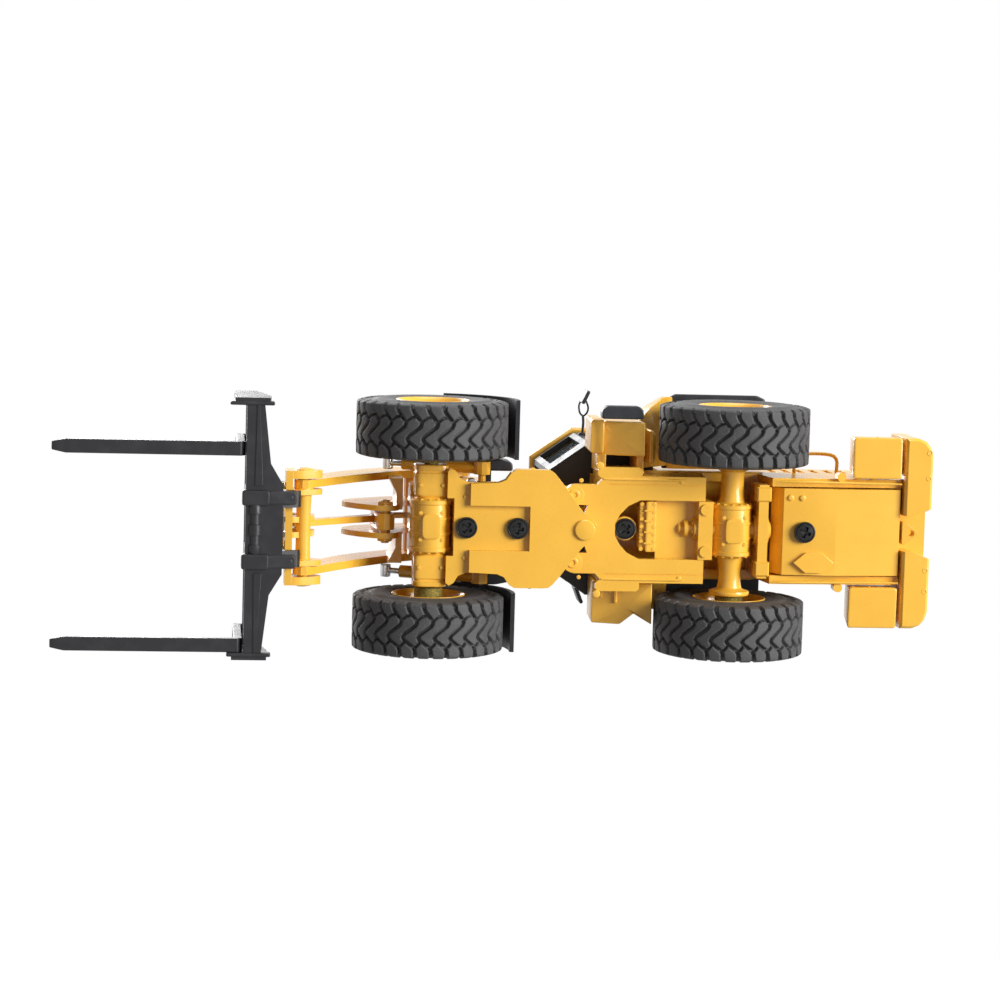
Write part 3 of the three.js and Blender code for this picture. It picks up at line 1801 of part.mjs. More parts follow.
function mirror(name, s, reach) {
  const x0 = s * (cabHalf + seatGap);
  const y0 = cabFront + cabPlanShares[1][1] * cabLength + pillarWidth / 2;
  const z = cabBottom + cabHeight * 0.82;
  const x1 = s * (reach - mirrorWidth / 2);
  const y1 = y0 + mirrorBack;
  const arm = bentBar(
    [
      [x0, y0, z],
      [(x0 + x1) / 2, (y0 + y1) / 2, z + railingRadius * 2],
      [x1, y1, z],
    ],
    railingRadius,
    8,
    6,
  );
  const head = box(
    [x1 - mirrorWidth / 2, x1 + mirrorWidth / 2],
    [y1 - mirrorThickness, y1],
    [z - mirrorHeight, z + railingRadius],
    mirrorThickness / 4,
  );
  return piece(name, join([arm, head]), blackPaint());
}

function gearbox() {
  const start = postBack + postRadius + seatGap;
  const end = hitchToAxle - trunnionSide - trunnionLength - seatGap;
  const room = end - start;
  const half = openingHalf * 0.8;
  const low = rearPlateBottom + seatGap;
  const high = railTop - plateThickness - seatGap;
  const front = start + room * 0.32;
  const bolts = [0.86, 0.29, -0.29, -0.86].map((share) =>
    barZ(half / 6, low - screwHeight / 3, low + plateThickness, share * half * 0.86, start + room * 0.07, 8),
  );
  const body = join([
    box([-half, half], [start, front], [low, high], hoodEdge / 3),
    box([-half * 0.7, half * 0.8], [start + room * 0.1, start + room * 0.66], [low + 2 * plateThickness, high]),
    barY(axleBossRadius, start + overrun, hitchToAxle - axleBossReach - runGap, 0, wheelHubZ()),
    ...bolts,
  ]);
  return piece("gearbox", body, yellowPaint());
}

// The cylinders' own lines, from the rear pin to the front pin
const liftLine = new THREE.Vector2(
  boomPivotForward + liftEndForward - liftBaseForward,
  boomPivotZ - liftEndDrop - liftBaseZ,
);
const steerLine = new THREE.Vector2(steerEndSide - steerEarSide, steerEndForward - steerEarForward);
const up = linkPinUp();
const tiltLine = new THREE.Vector2(
  crankForward - crankLean * crankTopShare - tiltBaseForward,
  tiltBaseDrop - crankDrop + up * crankTopShare,
);
const barrelShare = 0.62; // of the distance between the pins
const liftBarrelShare = 0.84;
const tiltBarrelShare = 0.66;
const rodShare = 0.68;
const tiltRodShare = 0.62; // short enough to stay clear of the ears when it is drawn in

function cylinder(names, line, place, turn, thickness, share = barrelShare, reach = rodShare) {
  const length = line.length();
  const barrel = piece(names[0], barrelBody(length * share), yellowPaint());
  const rod = piece(names[1], rodBody(length * reach, thickness), steel());
  rod.position.y = -length;
  const group = groupAt(...place, [barrel, rod]);
  turn(group);
  return group;
}

function liftCylinder(name, s) {
  const place = [s * liftSide, -liftBaseForward, liftBaseZ];
  return cylinder(
    [name + "_barrel", name + "_rod"],
    liftLine,
    place,
    (group) => {
      group.rotation.x = -Math.atan2(liftLine.y, liftLine.x);
    },
    2 * barrelRadius,
    liftBarrelShare,
  );
}

function steerCylinder(name, s) {
  const place = [s * steerEarSide, -steerEarForward, steerZ];
  return cylinder(
    [name + "_barrel", name + "_rod"],
    steerLine,
    place,
    (group) => {
      group.rotation.set(0, Math.PI / 2, s * Math.atan2(steerLine.x, steerLine.y), "ZYX");
    },
    2 * barrelRadius,
  );
}

function tiltCylinder() {
  return cylinder(
    ["tilt_barrel", "tilt_rod"],
    tiltLine,
    [0, -tiltBaseForward, -tiltBaseDrop],
    (group) => {
      group.rotation.x = -Math.atan2(tiltLine.y, tiltLine.x);
    },
    linkThickness,
    tiltBarrelShare,
    tiltRodShare,
  );
}

// The whole loader
const couplerGroup = groupAt(0, -boomReach, -boomDrop, [
  coupler(),
  carriage(),
  fork("left_fork", carriageHalf - leftForkInset),
  fork("right_fork", rightForkInset - carriageHalf),
]);

const crankGroup = groupAt(0, -crankForward, -crankDrop, [crank()]);
const linkGroup = groupAt(0, -crankForward + crankLean, -crankDrop + up, [tiltLink()]);

const boomGroup = groupAt(0, -boomPivotForward, boomPivotZ, [
  boom(),
  crankGroup,
  linkGroup,
  tiltCylinder(),
  couplerGroup,
]);

const channelFloor = frontPlateBottom + channelDepth - screwHeight - seatGap;

const frontBody = groupAt(0, 0, 0, [
  frontFrame(),
  hitchPin(),
  screw("front_screw_1", 0, -frontPlateLength * screwForwardShares[0], channelFloor),
  screw("front_screw_2", 0, -frontPlateLength * screwForwardShares[1], channelFloor),
  frontFender("left_front_fender", 1),
  frontFender("right_front_fender", -1),
  groupAt(0, -wheelbase / 2, tyreRadius, [
    frontAxle(),
    shaft("front_shaft"),
    wheel("left_front", 1),
    wheel("right_front", -1),
  ]),
  liftCylinder("left_lift", 1),
  liftCylinder("right_lift", -1),
  boomGroup,
]);

const rearBody = groupAt(0, 0, 0, [
  rearFrame(),
  bellyPan(),
  counterweight(),
  towHitch(),
  sideBox("left_side_box", 1),
  sideBox("right_side_box", -1),
  hood(),
  grille(),
  exhaustStack(),
  cabFrame(),
  cabGlazing(),
  cabRoof(),
  seat(),
  steeringColumn(),
  leftStep(),
  rightStep(),
  leftTread(),
  rearFender("left_rear_fender", 1),
  rearFender("right_rear_fender", -1),
  handrail(),
  mirror("left_mirror", 1, mirrorReach),
  mirror("right_mirror", -1, foldedReach),
  gearbox(),
  screw("rear_screw_1", 0, postBack, rearPlateBottom + screwHeight),
  screw("rear_screw_2", 0, bellyStart + screwRadius * 2, rearPlateBottom - screwHeight / 2 - seatGap),
  steerCylinder("left_steer", 1),
  steerCylinder("right_steer", -1),
  groupAt(0, wheelbase / 2, tyreRadius, [
    rearAxle(),
    shaft("rear_shaft"),
    wheel("left_rear", 1),
    wheel("right_rear", -1),
  ]),
]);

const loader = new THREE.Group();
loader.name = "toy_front_loader";
loader.add(rearBody, frontBody);

// The origin goes under the middle, between the tips of the tines and the back of the counterweight.
const tineTip = boomPivotForward + boomReach + carriageForward + seatGap + forkLength;
loader.position.y = (tineTip - weightStart - weightLength) / 2;

export default loader;
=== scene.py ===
# %% [markdown]
# A toy front loader with a pallet fork, dressed for the camera.
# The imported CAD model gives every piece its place, so this lesson only adds what a CAD solid
# lacks: rounded casting edges, moulded tyre treads, turned rims and pins, and real finishes.
# All lengths are metres, +Z is up, the fork points along -Y and +X is the loader's left.

import json
import math

import bpy
import numpy as np
from mathutils import Matrix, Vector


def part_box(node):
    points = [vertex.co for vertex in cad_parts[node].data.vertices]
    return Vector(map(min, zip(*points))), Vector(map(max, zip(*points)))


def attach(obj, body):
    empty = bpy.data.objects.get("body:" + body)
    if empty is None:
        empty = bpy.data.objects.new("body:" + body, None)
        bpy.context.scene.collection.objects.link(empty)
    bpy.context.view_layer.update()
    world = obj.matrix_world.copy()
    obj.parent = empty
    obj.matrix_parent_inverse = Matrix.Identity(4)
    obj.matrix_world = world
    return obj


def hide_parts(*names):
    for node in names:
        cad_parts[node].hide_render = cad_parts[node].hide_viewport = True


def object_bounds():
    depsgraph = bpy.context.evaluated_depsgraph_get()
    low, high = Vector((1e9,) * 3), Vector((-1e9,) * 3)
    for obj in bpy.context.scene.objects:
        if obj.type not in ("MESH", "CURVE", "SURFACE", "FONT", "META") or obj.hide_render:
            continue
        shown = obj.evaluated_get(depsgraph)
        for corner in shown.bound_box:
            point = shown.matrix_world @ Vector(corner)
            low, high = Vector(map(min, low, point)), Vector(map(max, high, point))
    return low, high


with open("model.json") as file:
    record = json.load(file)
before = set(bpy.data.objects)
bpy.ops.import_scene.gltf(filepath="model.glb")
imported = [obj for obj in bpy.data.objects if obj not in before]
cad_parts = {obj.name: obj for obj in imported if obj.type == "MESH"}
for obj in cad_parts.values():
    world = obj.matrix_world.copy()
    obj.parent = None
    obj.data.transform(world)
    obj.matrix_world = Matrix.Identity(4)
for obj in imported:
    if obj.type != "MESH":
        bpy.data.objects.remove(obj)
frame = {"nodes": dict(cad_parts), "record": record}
cad_low, cad_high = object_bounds()
MM = 0.001
print("CAD box in mm:", [round(v / MM, 1) for v in (*cad_low, *cad_high)])

# %% [markdown]
# Finishes are written as sums and products of patterns. A small class wraps a node's output
# and overloads the arithmetic signs, so that an expression adds the Math nodes by itself.
# Everything that isn't plain arithmetic goes through one method that adds any node.


# %% A pattern that can be added, multiplied and compared
class Pattern:
    """One output socket; arithmetic on it adds Math nodes to the same tree."""

    def __init__(self, tree, socket):
        self.tree = tree
        self.socket = socket

    def maths(self, operation, first, second=0.0):
        node = self.tree.nodes.new("ShaderNodeMath")
        node.operation = operation
        for slot, value in zip(node.inputs, (first, second)):
            plug(self.tree, slot, value)
        return Pattern(self.tree, node.outputs[0])

    def __add__(self, other):
        return self.maths("ADD", self, other)

    __radd__ = __add__

    def __sub__(self, other):
        return self.maths("SUBTRACT", self, other)

    def __rsub__(self, other):
        return self.maths("SUBTRACT", other, self)

    def __mul__(self, other):
        return self.maths("MULTIPLY", self, other)

    __rmul__ = __mul__

    def __pow__(self, other):
        return self.maths("POWER", self, other)


def plug(tree, slot, value):
    """Links a pattern to an input, or sets the input to a plain value."""
    if isinstance(value, Pattern):
        tree.links.new(value.socket, slot)
    else:
        slot.default_value = value


# %% [markdown]
# A finish is one material: a Principled shader and the patterns that feed it. Dragging the nodes
# by hand in the shader editor gives the same material, but a class lets each finish below say
# in three lines what varies: noise for clouds and ripples, cells for grains and dots.


# %% A finish is one material with a Principled shader
class Finish:
    """A material whose nodes are added one by one; node() is the only way to add one."""

    def __init__(self, name):
        self.material = bpy.data.materials.new(name)
        self.material.use_nodes = True
        self.tree = self.material.node_tree
        self.shader = self.tree.nodes["Principled BSDF"]
        self.place = self.node("ShaderNodeTexCoord", output="Object")

    def node(self, kind, settings=(), output=0, **inputs):
        """Adds a node: its settings first, then the values or links of its sockets."""
        node = self.tree.nodes.new(kind)
        for key, value in dict(settings).items():
            setattr(node, key, value)
        for key, value in inputs.items():
            plug(self.tree, node.inputs[key.replace("_", " ")], value)
        return Pattern(self.tree, node.outputs[output])

    def noise(self, size, detail=2.0, rough=0.5):
        """A cloudy pattern between 0 and 1 whose clouds are size metres across."""
        return self.node(
            "ShaderNodeTexNoise",
            Vector=self.place,
            Scale=1 / size,
            Detail=detail,
            Roughness=rough,
        )

    def cells(self, size):
        """Distance from the middle of the nearest cell, for grains about size metres across."""
        return self.node("ShaderNodeTexVoronoi", Vector=self.place, Scale=1 / size)

    def between(self, pattern, low, high, start=0.0, end=1.0):
        """Pattern stretched from low..high to start..end, held at both ends."""
        return self.node(
            "ShaderNodeMapRange",
            Value=pattern,
            **{"From_Min": low, "From_Max": high, "To_Min": start, "To_Max": end},
        )

    def mixed(self, share, first, second):
        """A colour between first and second."""
        node = self.tree.nodes.new("ShaderNodeMix")
        node.data_type = "RGBA"
        plug(self.tree, node.inputs["Factor"], share)
        plug(self.tree, node.inputs[6], first)
        plug(self.tree, node.inputs[7], second)
        return Pattern(self.tree, node.outputs[2])

    def bump(self, height, distance, strength=1.0):
        """A relief of height times distance metres on the surface."""
        return self.node("ShaderNodeBump", Height=height, Distance=distance, Strength=strength)

    def set(self, **inputs):
        """Links or sets the shader's own sockets."""
        for key, value in inputs.items():
            plug(self.tree, self.shader.inputs[key.replace("_", " ")], value)
        return self


# %% [markdown]
# The yellow is thick gloss enamel over die-cast zinc. Real enamel isn't one colour: it pools
# darker where it is thick, carries a faint orange-peel ripple, and picks up handling dust that
# dulls the shine in patches. Three noises of different sizes give those three effects.


# %% Gloss yellow enamel
def enamel(name, deep, light, gloss):
    """Two close colours mixed by a slow noise, dust dots, and an orange-peel ripple."""
    finish = Finish(name)
    pool = finish.noise(9 * MM, 3.0)
    dust = finish.between(finish.cells(0.9 * MM), 0.0, 0.06, 1.0, 0.0)
    spots = dust * finish.between(finish.noise(5 * MM), 0.58, 0.72)
    colour = finish.mixed(finish.between(pool, 0.3, 0.7), deep, light)
    colour = finish.mixed(spots * 0.5, colour, (0.3, 0.22, 0.12, 1))
    haze = finish.between(finish.noise(2.2 * MM, 4.0), 0.35, 0.75)
    peel = finish.noise(1.6 * MM, 1.0) + finish.noise(0.3 * MM, 1.0) * 0.1
    return finish.set(
        Base_Color=colour,
        Roughness=gloss + haze * 0.05 + spots * 0.3,
        Normal=finish.bump(peel, 0.006 * MM, 0.35),
        Coat_Weight=0.3,
        Coat_Roughness=0.1,
        Specular_IOR_Level=0.3,
    ).material


yellow_enamel = enamel("yellow_enamel", (0.79, 0.425, 0.042, 1), (0.84, 0.46, 0.05, 1), 0.26)
print("made", yellow_enamel.name)

# %% [markdown]
# The fork, screws and cab are black. Painted metal is a satin black with a fine powdery grain;
# moulded plastic is a little greyer, with a soft leathery texture from the tool. Both get
# lighter rubbed patches, because pure even black reads as a hole in the picture.


# %% Satin black paint and moulded black plastic
def blackened(name, dark, rubbed, gloss, grain, depth):
    """A dark colour with rubbed patches, a grain of the given size and depth in metres."""
    finish = Finish(name)
    patch = finish.between(finish.noise(4 * MM, 4.0), 0.45, 0.75)
    speck = finish.between(finish.cells(1.1 * MM), 0.0, 0.05, 1.0, 0.0)
    colour = finish.mixed(patch * 0.6 + speck * 0.35, dark, rubbed)
    grainy = finish.noise(grain, 3.0, 0.6)
    return finish.set(
        Base_Color=colour,
        Roughness=gloss + patch * 0.14 + finish.noise(0.6 * MM) * 0.06,
        Normal=finish.bump(grainy, depth, 0.5),
        Specular_IOR_Level=0.35,
    ).material


black_paint = blackened(
    "satin_black_paint", (0.016, 0.016, 0.018, 1), (0.03, 0.03, 0.034, 1), 0.34, 0.12 * MM, 0.012 * MM
)
black_plastic = blackened(
    "black_plastic", (0.013, 0.014, 0.017, 1), (0.028, 0.03, 0.034, 1), 0.38, 0.3 * MM, 0.02 * MM
)
blued_steel = blackened(
    "blued_steel", (0.003, 0.003, 0.0035, 1), (0.008, 0.008, 0.009, 1), 0.22, 0.3 * MM, 0.008 * MM
)
print("made", black_paint.name, black_plastic.name, "and", blued_steel.name)

# %% [markdown]
# Tyre rubber is dull, dark grey rather than black, and always carries pale specks of dust.
# The specks are the middles of small cells, kept only where a wider noise lets them show.


# %% Tyre rubber
def rubber_finish():
    """Dark grey with dusty specks; rough, with a fine pitted relief."""
    finish = Finish("tyre_rubber")
    speck = finish.between(finish.noise(0.17 * MM, 2.0, 0.7), 0.52, 0.66)
    dusty = speck * finish.between(finish.noise(2.5 * MM, 3.0), 0.3, 0.62)
    cloud = finish.between(finish.noise(6 * MM, 4.0), 0.3, 0.7)
    colour = finish.mixed(cloud, (0.028, 0.028, 0.03, 1), (0.045, 0.045, 0.047, 1))
    colour = finish.mixed(dusty * 0.6, colour, (0.2, 0.195, 0.185, 1))
    pits = finish.noise(0.16 * MM, 3.0, 0.7)
    return finish.set(
        Base_Color=colour,
        Roughness=0.62 + dusty * 0.25 + cloud * 0.06,
        Normal=finish.bump(pits, 0.05 * MM, 0.5),
    ).material


tyre_rubber = rubber_finish()


# %% [markdown]
# Bare metals: the cylinder rods are ground steel with lines round the rod, and the axle stubs
# are brass with a knurled, tarnished face. The grain comes from a stretched noise on the rods
# and from small cells on the brass.


# %% Ground steel and knurled brass
def steel_finish():
    """Bright metal whose roughness runs in fine streaks."""
    finish = Finish("ground_steel")
    streak = finish.noise(0.25 * MM, 2.0, 0.6)
    smear = finish.between(finish.noise(3 * MM, 3.0), 0.35, 0.7)
    colour = finish.mixed(smear, (0.62, 0.62, 0.63, 1), (0.5, 0.5, 0.52, 1))
    return finish.set(
        Base_Color=colour,
        Metallic=1.0,
        Roughness=0.18 + streak * 0.16 + smear * 0.08,
        Normal=finish.bump(streak, 0.006 * MM, 0.4),
    ).material


def brass_finish():
    """Tarnished yellow metal, dark between its grains."""
    finish = Finish("knurled_brass")
    grain = finish.between(finish.cells(0.34 * MM), 0.1, 0.55)
    tarnish = finish.between(finish.noise(1.1 * MM, 4.0), 0.35, 0.65)
    colour = finish.mixed(grain, (0.46, 0.36, 0.07, 1), (0.12, 0.1, 0.03, 1))
    colour = finish.mixed(tarnish * 0.6, colour, (0.3, 0.22, 0.05, 1))
    return finish.set(
        Base_Color=colour,
        Metallic=0.75,
        Roughness=0.42 + grain * 0.25,
        Normal=finish.bump(1 - grain, 0.08 * MM, 0.8),
    ).material


ground_steel = steel_finish()
knurled_brass = brass_finish()


# %% [markdown]
# The cab's panes are clear plastic, tinted grey so that the seat only shows faintly. True
# transmission does that by itself. A low IOR keeps the thick toy panes from bending the view.


# %% Tinted cab glass
def glass_finish():
    """Clear plastic with a grey tint; faint smears vary its shine."""
    finish = Finish("tinted_glass")
    smear = finish.between(finish.noise(4 * MM, 4.0), 0.4, 0.75)
    tint = finish.mixed(smear * 0.4, (0.30, 0.36, 0.40, 1), (0.42, 0.46, 0.48, 1))
    return finish.set(
        Base_Color=tint,
        Roughness=0.03 + smear * 0.08,
        Transmission_Weight=0.85,
        IOR=1.3,
        Normal=finish.bump(finish.noise(9 * MM), 0.01 * MM, 0.1),
    ).material


tinted_glass = glass_finish()
print("materials:", len(bpy.data.materials))

# %% [markdown]
# A die-cast edge is never sharp: metal shrinks, and enamel bridges the corners. The CAD
# solids have sharp edges, so each gets live modifiers that leave its own points alone:
# Weld joins the loose triangles, a planar Decimate clears the lines across flats,
# Bevel rounds the edges, and weighted normals keep the flats flat.

# %% Round the edges of the CAD castings
SLOT_FINISH = {
    "yellow_paint": yellow_enamel,
    "black_paint": black_paint,
    "black_plastic": black_plastic,
    "tyre_rubber": tyre_rubber,
    "steel": ground_steel,
    "brass": knurled_brass,
    "cab_glass": tinted_glass,
}


def soften(node, width):
    """Weld, clear flats, bevel by width metres and keep flat faces shading flat."""
    weld = node.modifiers.new("weld", "WELD")
    weld.merge_threshold = 0.004 * MM
    planar = node.modifiers.new("flats", "DECIMATE")
    planar.decimate_type = "DISSOLVE"
    planar.angle_limit = math.radians(1.0)
    bevel = node.modifiers.new("round", "BEVEL")
    bevel.width = width
    bevel.segments = 2
    bevel.limit_method = "ANGLE"
    bevel.angle_limit = math.radians(32)
    bevel.use_clamp_overlap = True
    bevel.harden_normals = False
    node.data.shade_smooth()
    weighted = node.modifiers.new("shade", "WEIGHTED_NORMAL")
    weighted.keep_sharp = False
    weighted.weight = 60


node_slot = {p["node"]: p["material_slot"] for p in frame["record"]["subparts"]}
for name, node in frame["nodes"].items():
    node.data.materials.clear()
    node.data.materials.append(SLOT_FINISH[node_slot[name]])
    soften(node, 0.22 * MM)
print("softened", len(frame["nodes"]), "castings")

# %% [markdown]
# Everything that a CAD solid is too plain for is made as a skin over rings. A ring is a closed
# loop of points, and a stack of rings makes a turned part, a cast housing, a bolt or a bent
# tube, whichever the loops follow. One function stitches the rings, another puts the meshes
# of one piece together, so each piece below is only its numbers.


# %% Skins over rings
def skin(rings, ends=True):
    """Quads between each ring and the next, and a fan on both ends.

    The volume is a sixth of the sum of a . (b x c) over the triangles. If it comes out
    negative the faces look inwards, and all of them are turned round.
    """
    rings = np.asarray(rings, float)
    rows, columns, _ = rings.shape
    points = rings.reshape(-1, 3)
    one = np.arange(columns)
    two = (one + 1) % columns
    base = np.arange(rows - 1)[:, None] * columns
    start, after = (base + one).ravel(), (base + two).ravel()
    faces = [np.stack([start, after, after + columns, start + columns], 1)]
    if ends:
        points = np.vstack([points, rings[0].mean(0), rings[-1].mean(0)])
        low = np.full(columns, rows * columns)
        high = low + 1
        top = (rows - 1) * columns
        faces.append(np.stack([two, one, low, low], 1))
        faces.append(np.stack([one + top, two + top, high, high], 1))
    faces = np.vstack(faces)
    a, b, c, d = (points[faces[:, k]] for k in range(4))
    volume = (a * np.cross(b, c)).sum() + (a * np.cross(c, d)).sum()
    return points, faces if volume > 0 else faces[:, ::-1]


def make(name, parts, body, slot, crease=40, replaced=(), finish=None):
    """Puts several skins into one mesh, with edges sharper than crease degrees kept sharp.

    The piece rides on body, wears its slot's finish unless another is given, and takes the
    place of the replaced CAD nodes.
    """
    counts = np.cumsum([0] + [len(points) for points, _ in parts])
    points = np.vstack([points for points, _ in parts])
    faces = np.vstack([faces + first for (_, faces), first in zip(parts, counts)])
    loops = [f[:3] if f[2] == f[3] else f[1:] if f[0] == f[1] else f for f in faces.tolist()]
    mesh = bpy.data.meshes.new(name)
    mesh.from_pydata(points, [], loops)
    mesh.shade_smooth()
    mesh.set_sharp_from_angle(angle=math.radians(crease))
    mesh.materials.append(finish or SLOT_FINISH[slot])
    piece = bpy.data.objects.new(name, mesh)
    bpy.context.scene.collection.objects.link(piece)
    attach(piece, body)
    if replaced:
        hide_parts(*replaced)
    print(name, len(loops), "faces")
    return piece


AXES = {"x": np.eye(3)[[1, 2, 0]], "y": np.eye(3)[[2, 0, 1]], "z": np.eye(3)}


def turned(profile, centre, axis="x", sides=48, reach=None):
    """A profile of (along, radius) turned about an axis.

    Each point is centre + along * axis + radius * (cos angle * u + sin angle * v), and
    reach(angle, row) may scale the radius.
    """
    along, radius = np.asarray(profile, float).T
    angle = np.arange(sides) * 2 * np.pi / sides
    scale = 1.0 if reach is None else reach(angle[None, :], np.arange(len(along))[:, None])
    u, v, w = AXES[axis] if isinstance(axis, str) else axis
    across = radius[:, None] * scale
    rings = (
        (across * np.cos(angle))[..., None] * u
        + (across * np.sin(angle))[..., None] * v
        + along[:, None, None] * w
    )
    return skin(rings + np.asarray(centre))


def smoothed(points, samples=6):
    """More points on a smooth line through the given ones, by the Catmull-Rom formula."""
    points = np.asarray(points, float)
    padded = np.vstack([2 * points[0] - points[1], points, 2 * points[-1] - points[-2]])
    t = np.linspace(0, 1, samples, endpoint=False)[:, None]
    p0, p1, p2, p3 = (padded[k : len(padded) - 3 + k, None, :] for k in range(4))
    square = (2 * p0 - 5 * p1 + 4 * p2 - p3) * t**2
    cube = (3 * p1 - p0 - 3 * p2 + p3) * t**3
    curve = 0.5 * (2 * p1 + (p2 - p0) * t + square + cube)
    return np.vstack([curve.reshape(-1, points.shape[1]), points[-1:]])


def centre_of(node):
    """The middle of a CAD node's box."""
    low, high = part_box(node)
    return np.array([(low[k] + high[k]) / 2 for k in range(3)])


# %% [markdown]
# The tyre is the part that the eye goes to first. A real loader tyre is moulded with S-shaped
# middle blocks and five-cornered shoulder blocks, and narrow grooves between them. Modelling
# each block would need hundreds of solids, so the whole tread is one height field instead: the
# distance from the nearest groove line, drawn in one pitch and repeated round the wheel, sinks
# the surface. The side walls get moulded rings by the same means.

# %% The groove lines of one pitch of the tread
PITCHES = 30
# places are shares: along the wheel in pitches, and across it from -1 to 1
LONG_GROOVE = [
    (-0.20, 1.50), (-0.14, 0.95), (-0.06, 0.78), (0.38, 0.44), (0.45, 0.33),
    (0.38, 0.22), (-0.36, -0.14), (-0.46, -0.26), (-0.38, -0.36), (0.20, -0.63),
    (0.34, -0.76), (0.38, -1.00), (0.40, -1.50),
]
OUTER_BRANCH = [(0.42, 0.40), (0.76, 0.57), (1.14, 0.62)]
INNER_BRANCH = [(0.20, -0.63), (0.44, -0.61), (0.62, -0.47)]
# each groove line and how much wider than the branches it is
GROOVES = ((LONG_GROOVE, 0.11 * MM), (OUTER_BRANCH, 0.0), (INNER_BRANCH, 0.0))
GROOVE_DEPTH = 1.0 * MM
SHOULDER_WIDER = 0.16 * MM
TREAD_HALF = 5.85 * MM
SAMPLES = 22


def distance_to(line, p, q):
    """Least distance in metres from points (p, q) to the pieces of a line."""
    best = np.full(p.shape, 1.0)
    for (p0, q0), (p1, q1) in zip(line[:-1], line[1:]):
        dp, dq = p1 - p0, q1 - q0
        t = np.clip(((p - p0) * dp + (q - q0) * dq) / (dp * dp + dq * dq), 0, 1)
        best = np.minimum(best, np.hypot(p - p0 - t * dp, q - q0 - t * dq))
    return best


def step_between(value, low, high):
    """0 below low, 1 above high, and a smooth rise between them."""
    t = np.clip((value - low) / (high - low), 0, 1)
    return t * t * (3 - 2 * t)


# %% [markdown]
# The tyre itself is one turned line: up the inner wall, across the tread and down the outer
# wall. It is resampled by length, with close rows where the grooves are. Then every point moves
# inwards, square to that line, by the depth that the grooves, the shoulder ledge and the moulded
# rings ask for. Real displacement like this also shows in the outline, which a bump would not.

# %% Four tyres
# shares of the half width and of the height from the bead to the tread
WALL_SHARES = [
    (-0.92, 0.0), (-0.96, 0.08), (-0.985, 0.28), (-1.0, 0.5), (-0.99, 0.7), (-0.955, 0.82),
    (-0.92, 0.92), (-0.885, 0.98), (-0.82, 0.996), (-0.4, 1.0), (0.0, 1.0),
]
RING_SHARES = (0.12, 0.2, 0.56)
BEAD = 8.6 * MM


def tyre_line(half, radius):
    """Distance from the line's middle, place along the axle and radius of each row."""
    shares = WALL_SHARES + [(-a, r) for a, r in WALL_SHARES[-2::-1]]
    line = smoothed([(a * half, BEAD + r * (radius - BEAD)) for a, r in shares], 12)
    length = np.concatenate([[0], np.cumsum(np.hypot(*np.diff(line, axis=0).T))])
    walls = np.linspace(0, 0.26, 22)[:-1], np.linspace(0.74, 1, 22)[1:]
    rows = np.concatenate([walls[0], np.linspace(0.26, 0.74, 74), walls[1]]) * length[-1]
    axial, radial = (np.interp(rows, length, line[:, k]) for k in (0, 1))
    return rows - length[-1] / 2, axial, radial


def groove_gap(arc, turns, pitch):
    """Distance to the nearest groove's edge, in metres, at each row and turn of the tyre."""
    phase = (turns % 1.0) * pitch
    gap = np.full(turns.shape, 1.0)
    for places, wider in GROOVES:
        line = [(a * pitch, b * TREAD_HALF) for a, b in places]
        for shift in (-1, 0, 1):
            distance = distance_to(line, phase + shift * pitch, arc[:, None] * TREAD_HALF)
            gap = np.minimum(gap, distance - wider)
    return gap - SHOULDER_WIDER * step_between(np.abs(arc), 0.75, 1.05)[:, None]


def tyre_skin(centre, half, radius):
    """The turned wall, sunk by the grooves on the tread and by rings on the side walls."""
    along, axial, radial = tyre_line(half, radius)
    arc = along / TREAD_HALF
    off = np.abs(arc)
    turns = (np.arange(PITCHES * SAMPLES) / SAMPLES)[None, :] + 0 * arc[:, None]
    gap = groove_gap(arc, turns, 2 * np.pi * radius / PITCHES)
    fade = 1 - step_between(off, 1.3, 1.42)
    deep = GROOVE_DEPTH * (1 - step_between(gap, 0.15 * MM, 0.36 * MM)) * fade[:, None]
    ledge = 0.45 * MM * step_between(off, 1.36, 1.4) * (1 - step_between(off, 1.6, 1.9))
    height = (radial - BEAD) / (radius - BEAD)
    moulded = sum(np.exp(-(((height - at) / 0.012) ** 2)) for at in RING_SHARES) * (off > 1.2)
    deep = deep + (ledge + 0.12 * MM * moulded)[:, None]
    slope = np.gradient(np.stack([axial, radial], 1), axis=0)
    normal = np.stack([-slope[:, 1], slope[:, 0]], 1) / np.linalg.norm(slope, axis=1)[:, None]
    across = axial[:, None] - deep * normal[:, :1]
    reach = radial[:, None] - deep * normal[:, 1:]
    angle = turns * 2 * np.pi / PITCHES
    rings = np.stack([across, reach * np.cos(angle), reach * np.sin(angle)], 2)
    inside = rings[[-1, 0]].copy()
    inside[..., 0] *= 0.5
    return skin(np.vstack([rings, inside, rings[:1]]) + centre, ends=False)


WHEELS = ("left_front", "right_front", "left_rear", "right_rear")
for name in WHEELS:
    low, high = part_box(name + "_tyre")
    middle = centre_of(name + "_tyre")
    outward = 1 if middle[0] > 0 else -1
    shy = 0.05 if name == "left_rear" else 0.45
    half = (high[0] - low[0]) / 2 - shy * MM
    middle[0] += outward * 0.45 * shy * MM
    parts = [tyre_skin(middle, half, (high[2] - low[2]) / 2)]
    make(name + "_tread", parts, name + "_wheel", "tyre_rubber", 60, [name + "_tyre"])

# %% [markdown]
# Each rim is one casting: a lip round the bead, a deep dish, a raised hub and a ring of wheel
# nuts. It is a turned profile, because all of it except the nuts is round, and the nuts are
# six-sided skins with a chamfer, set on the dish.


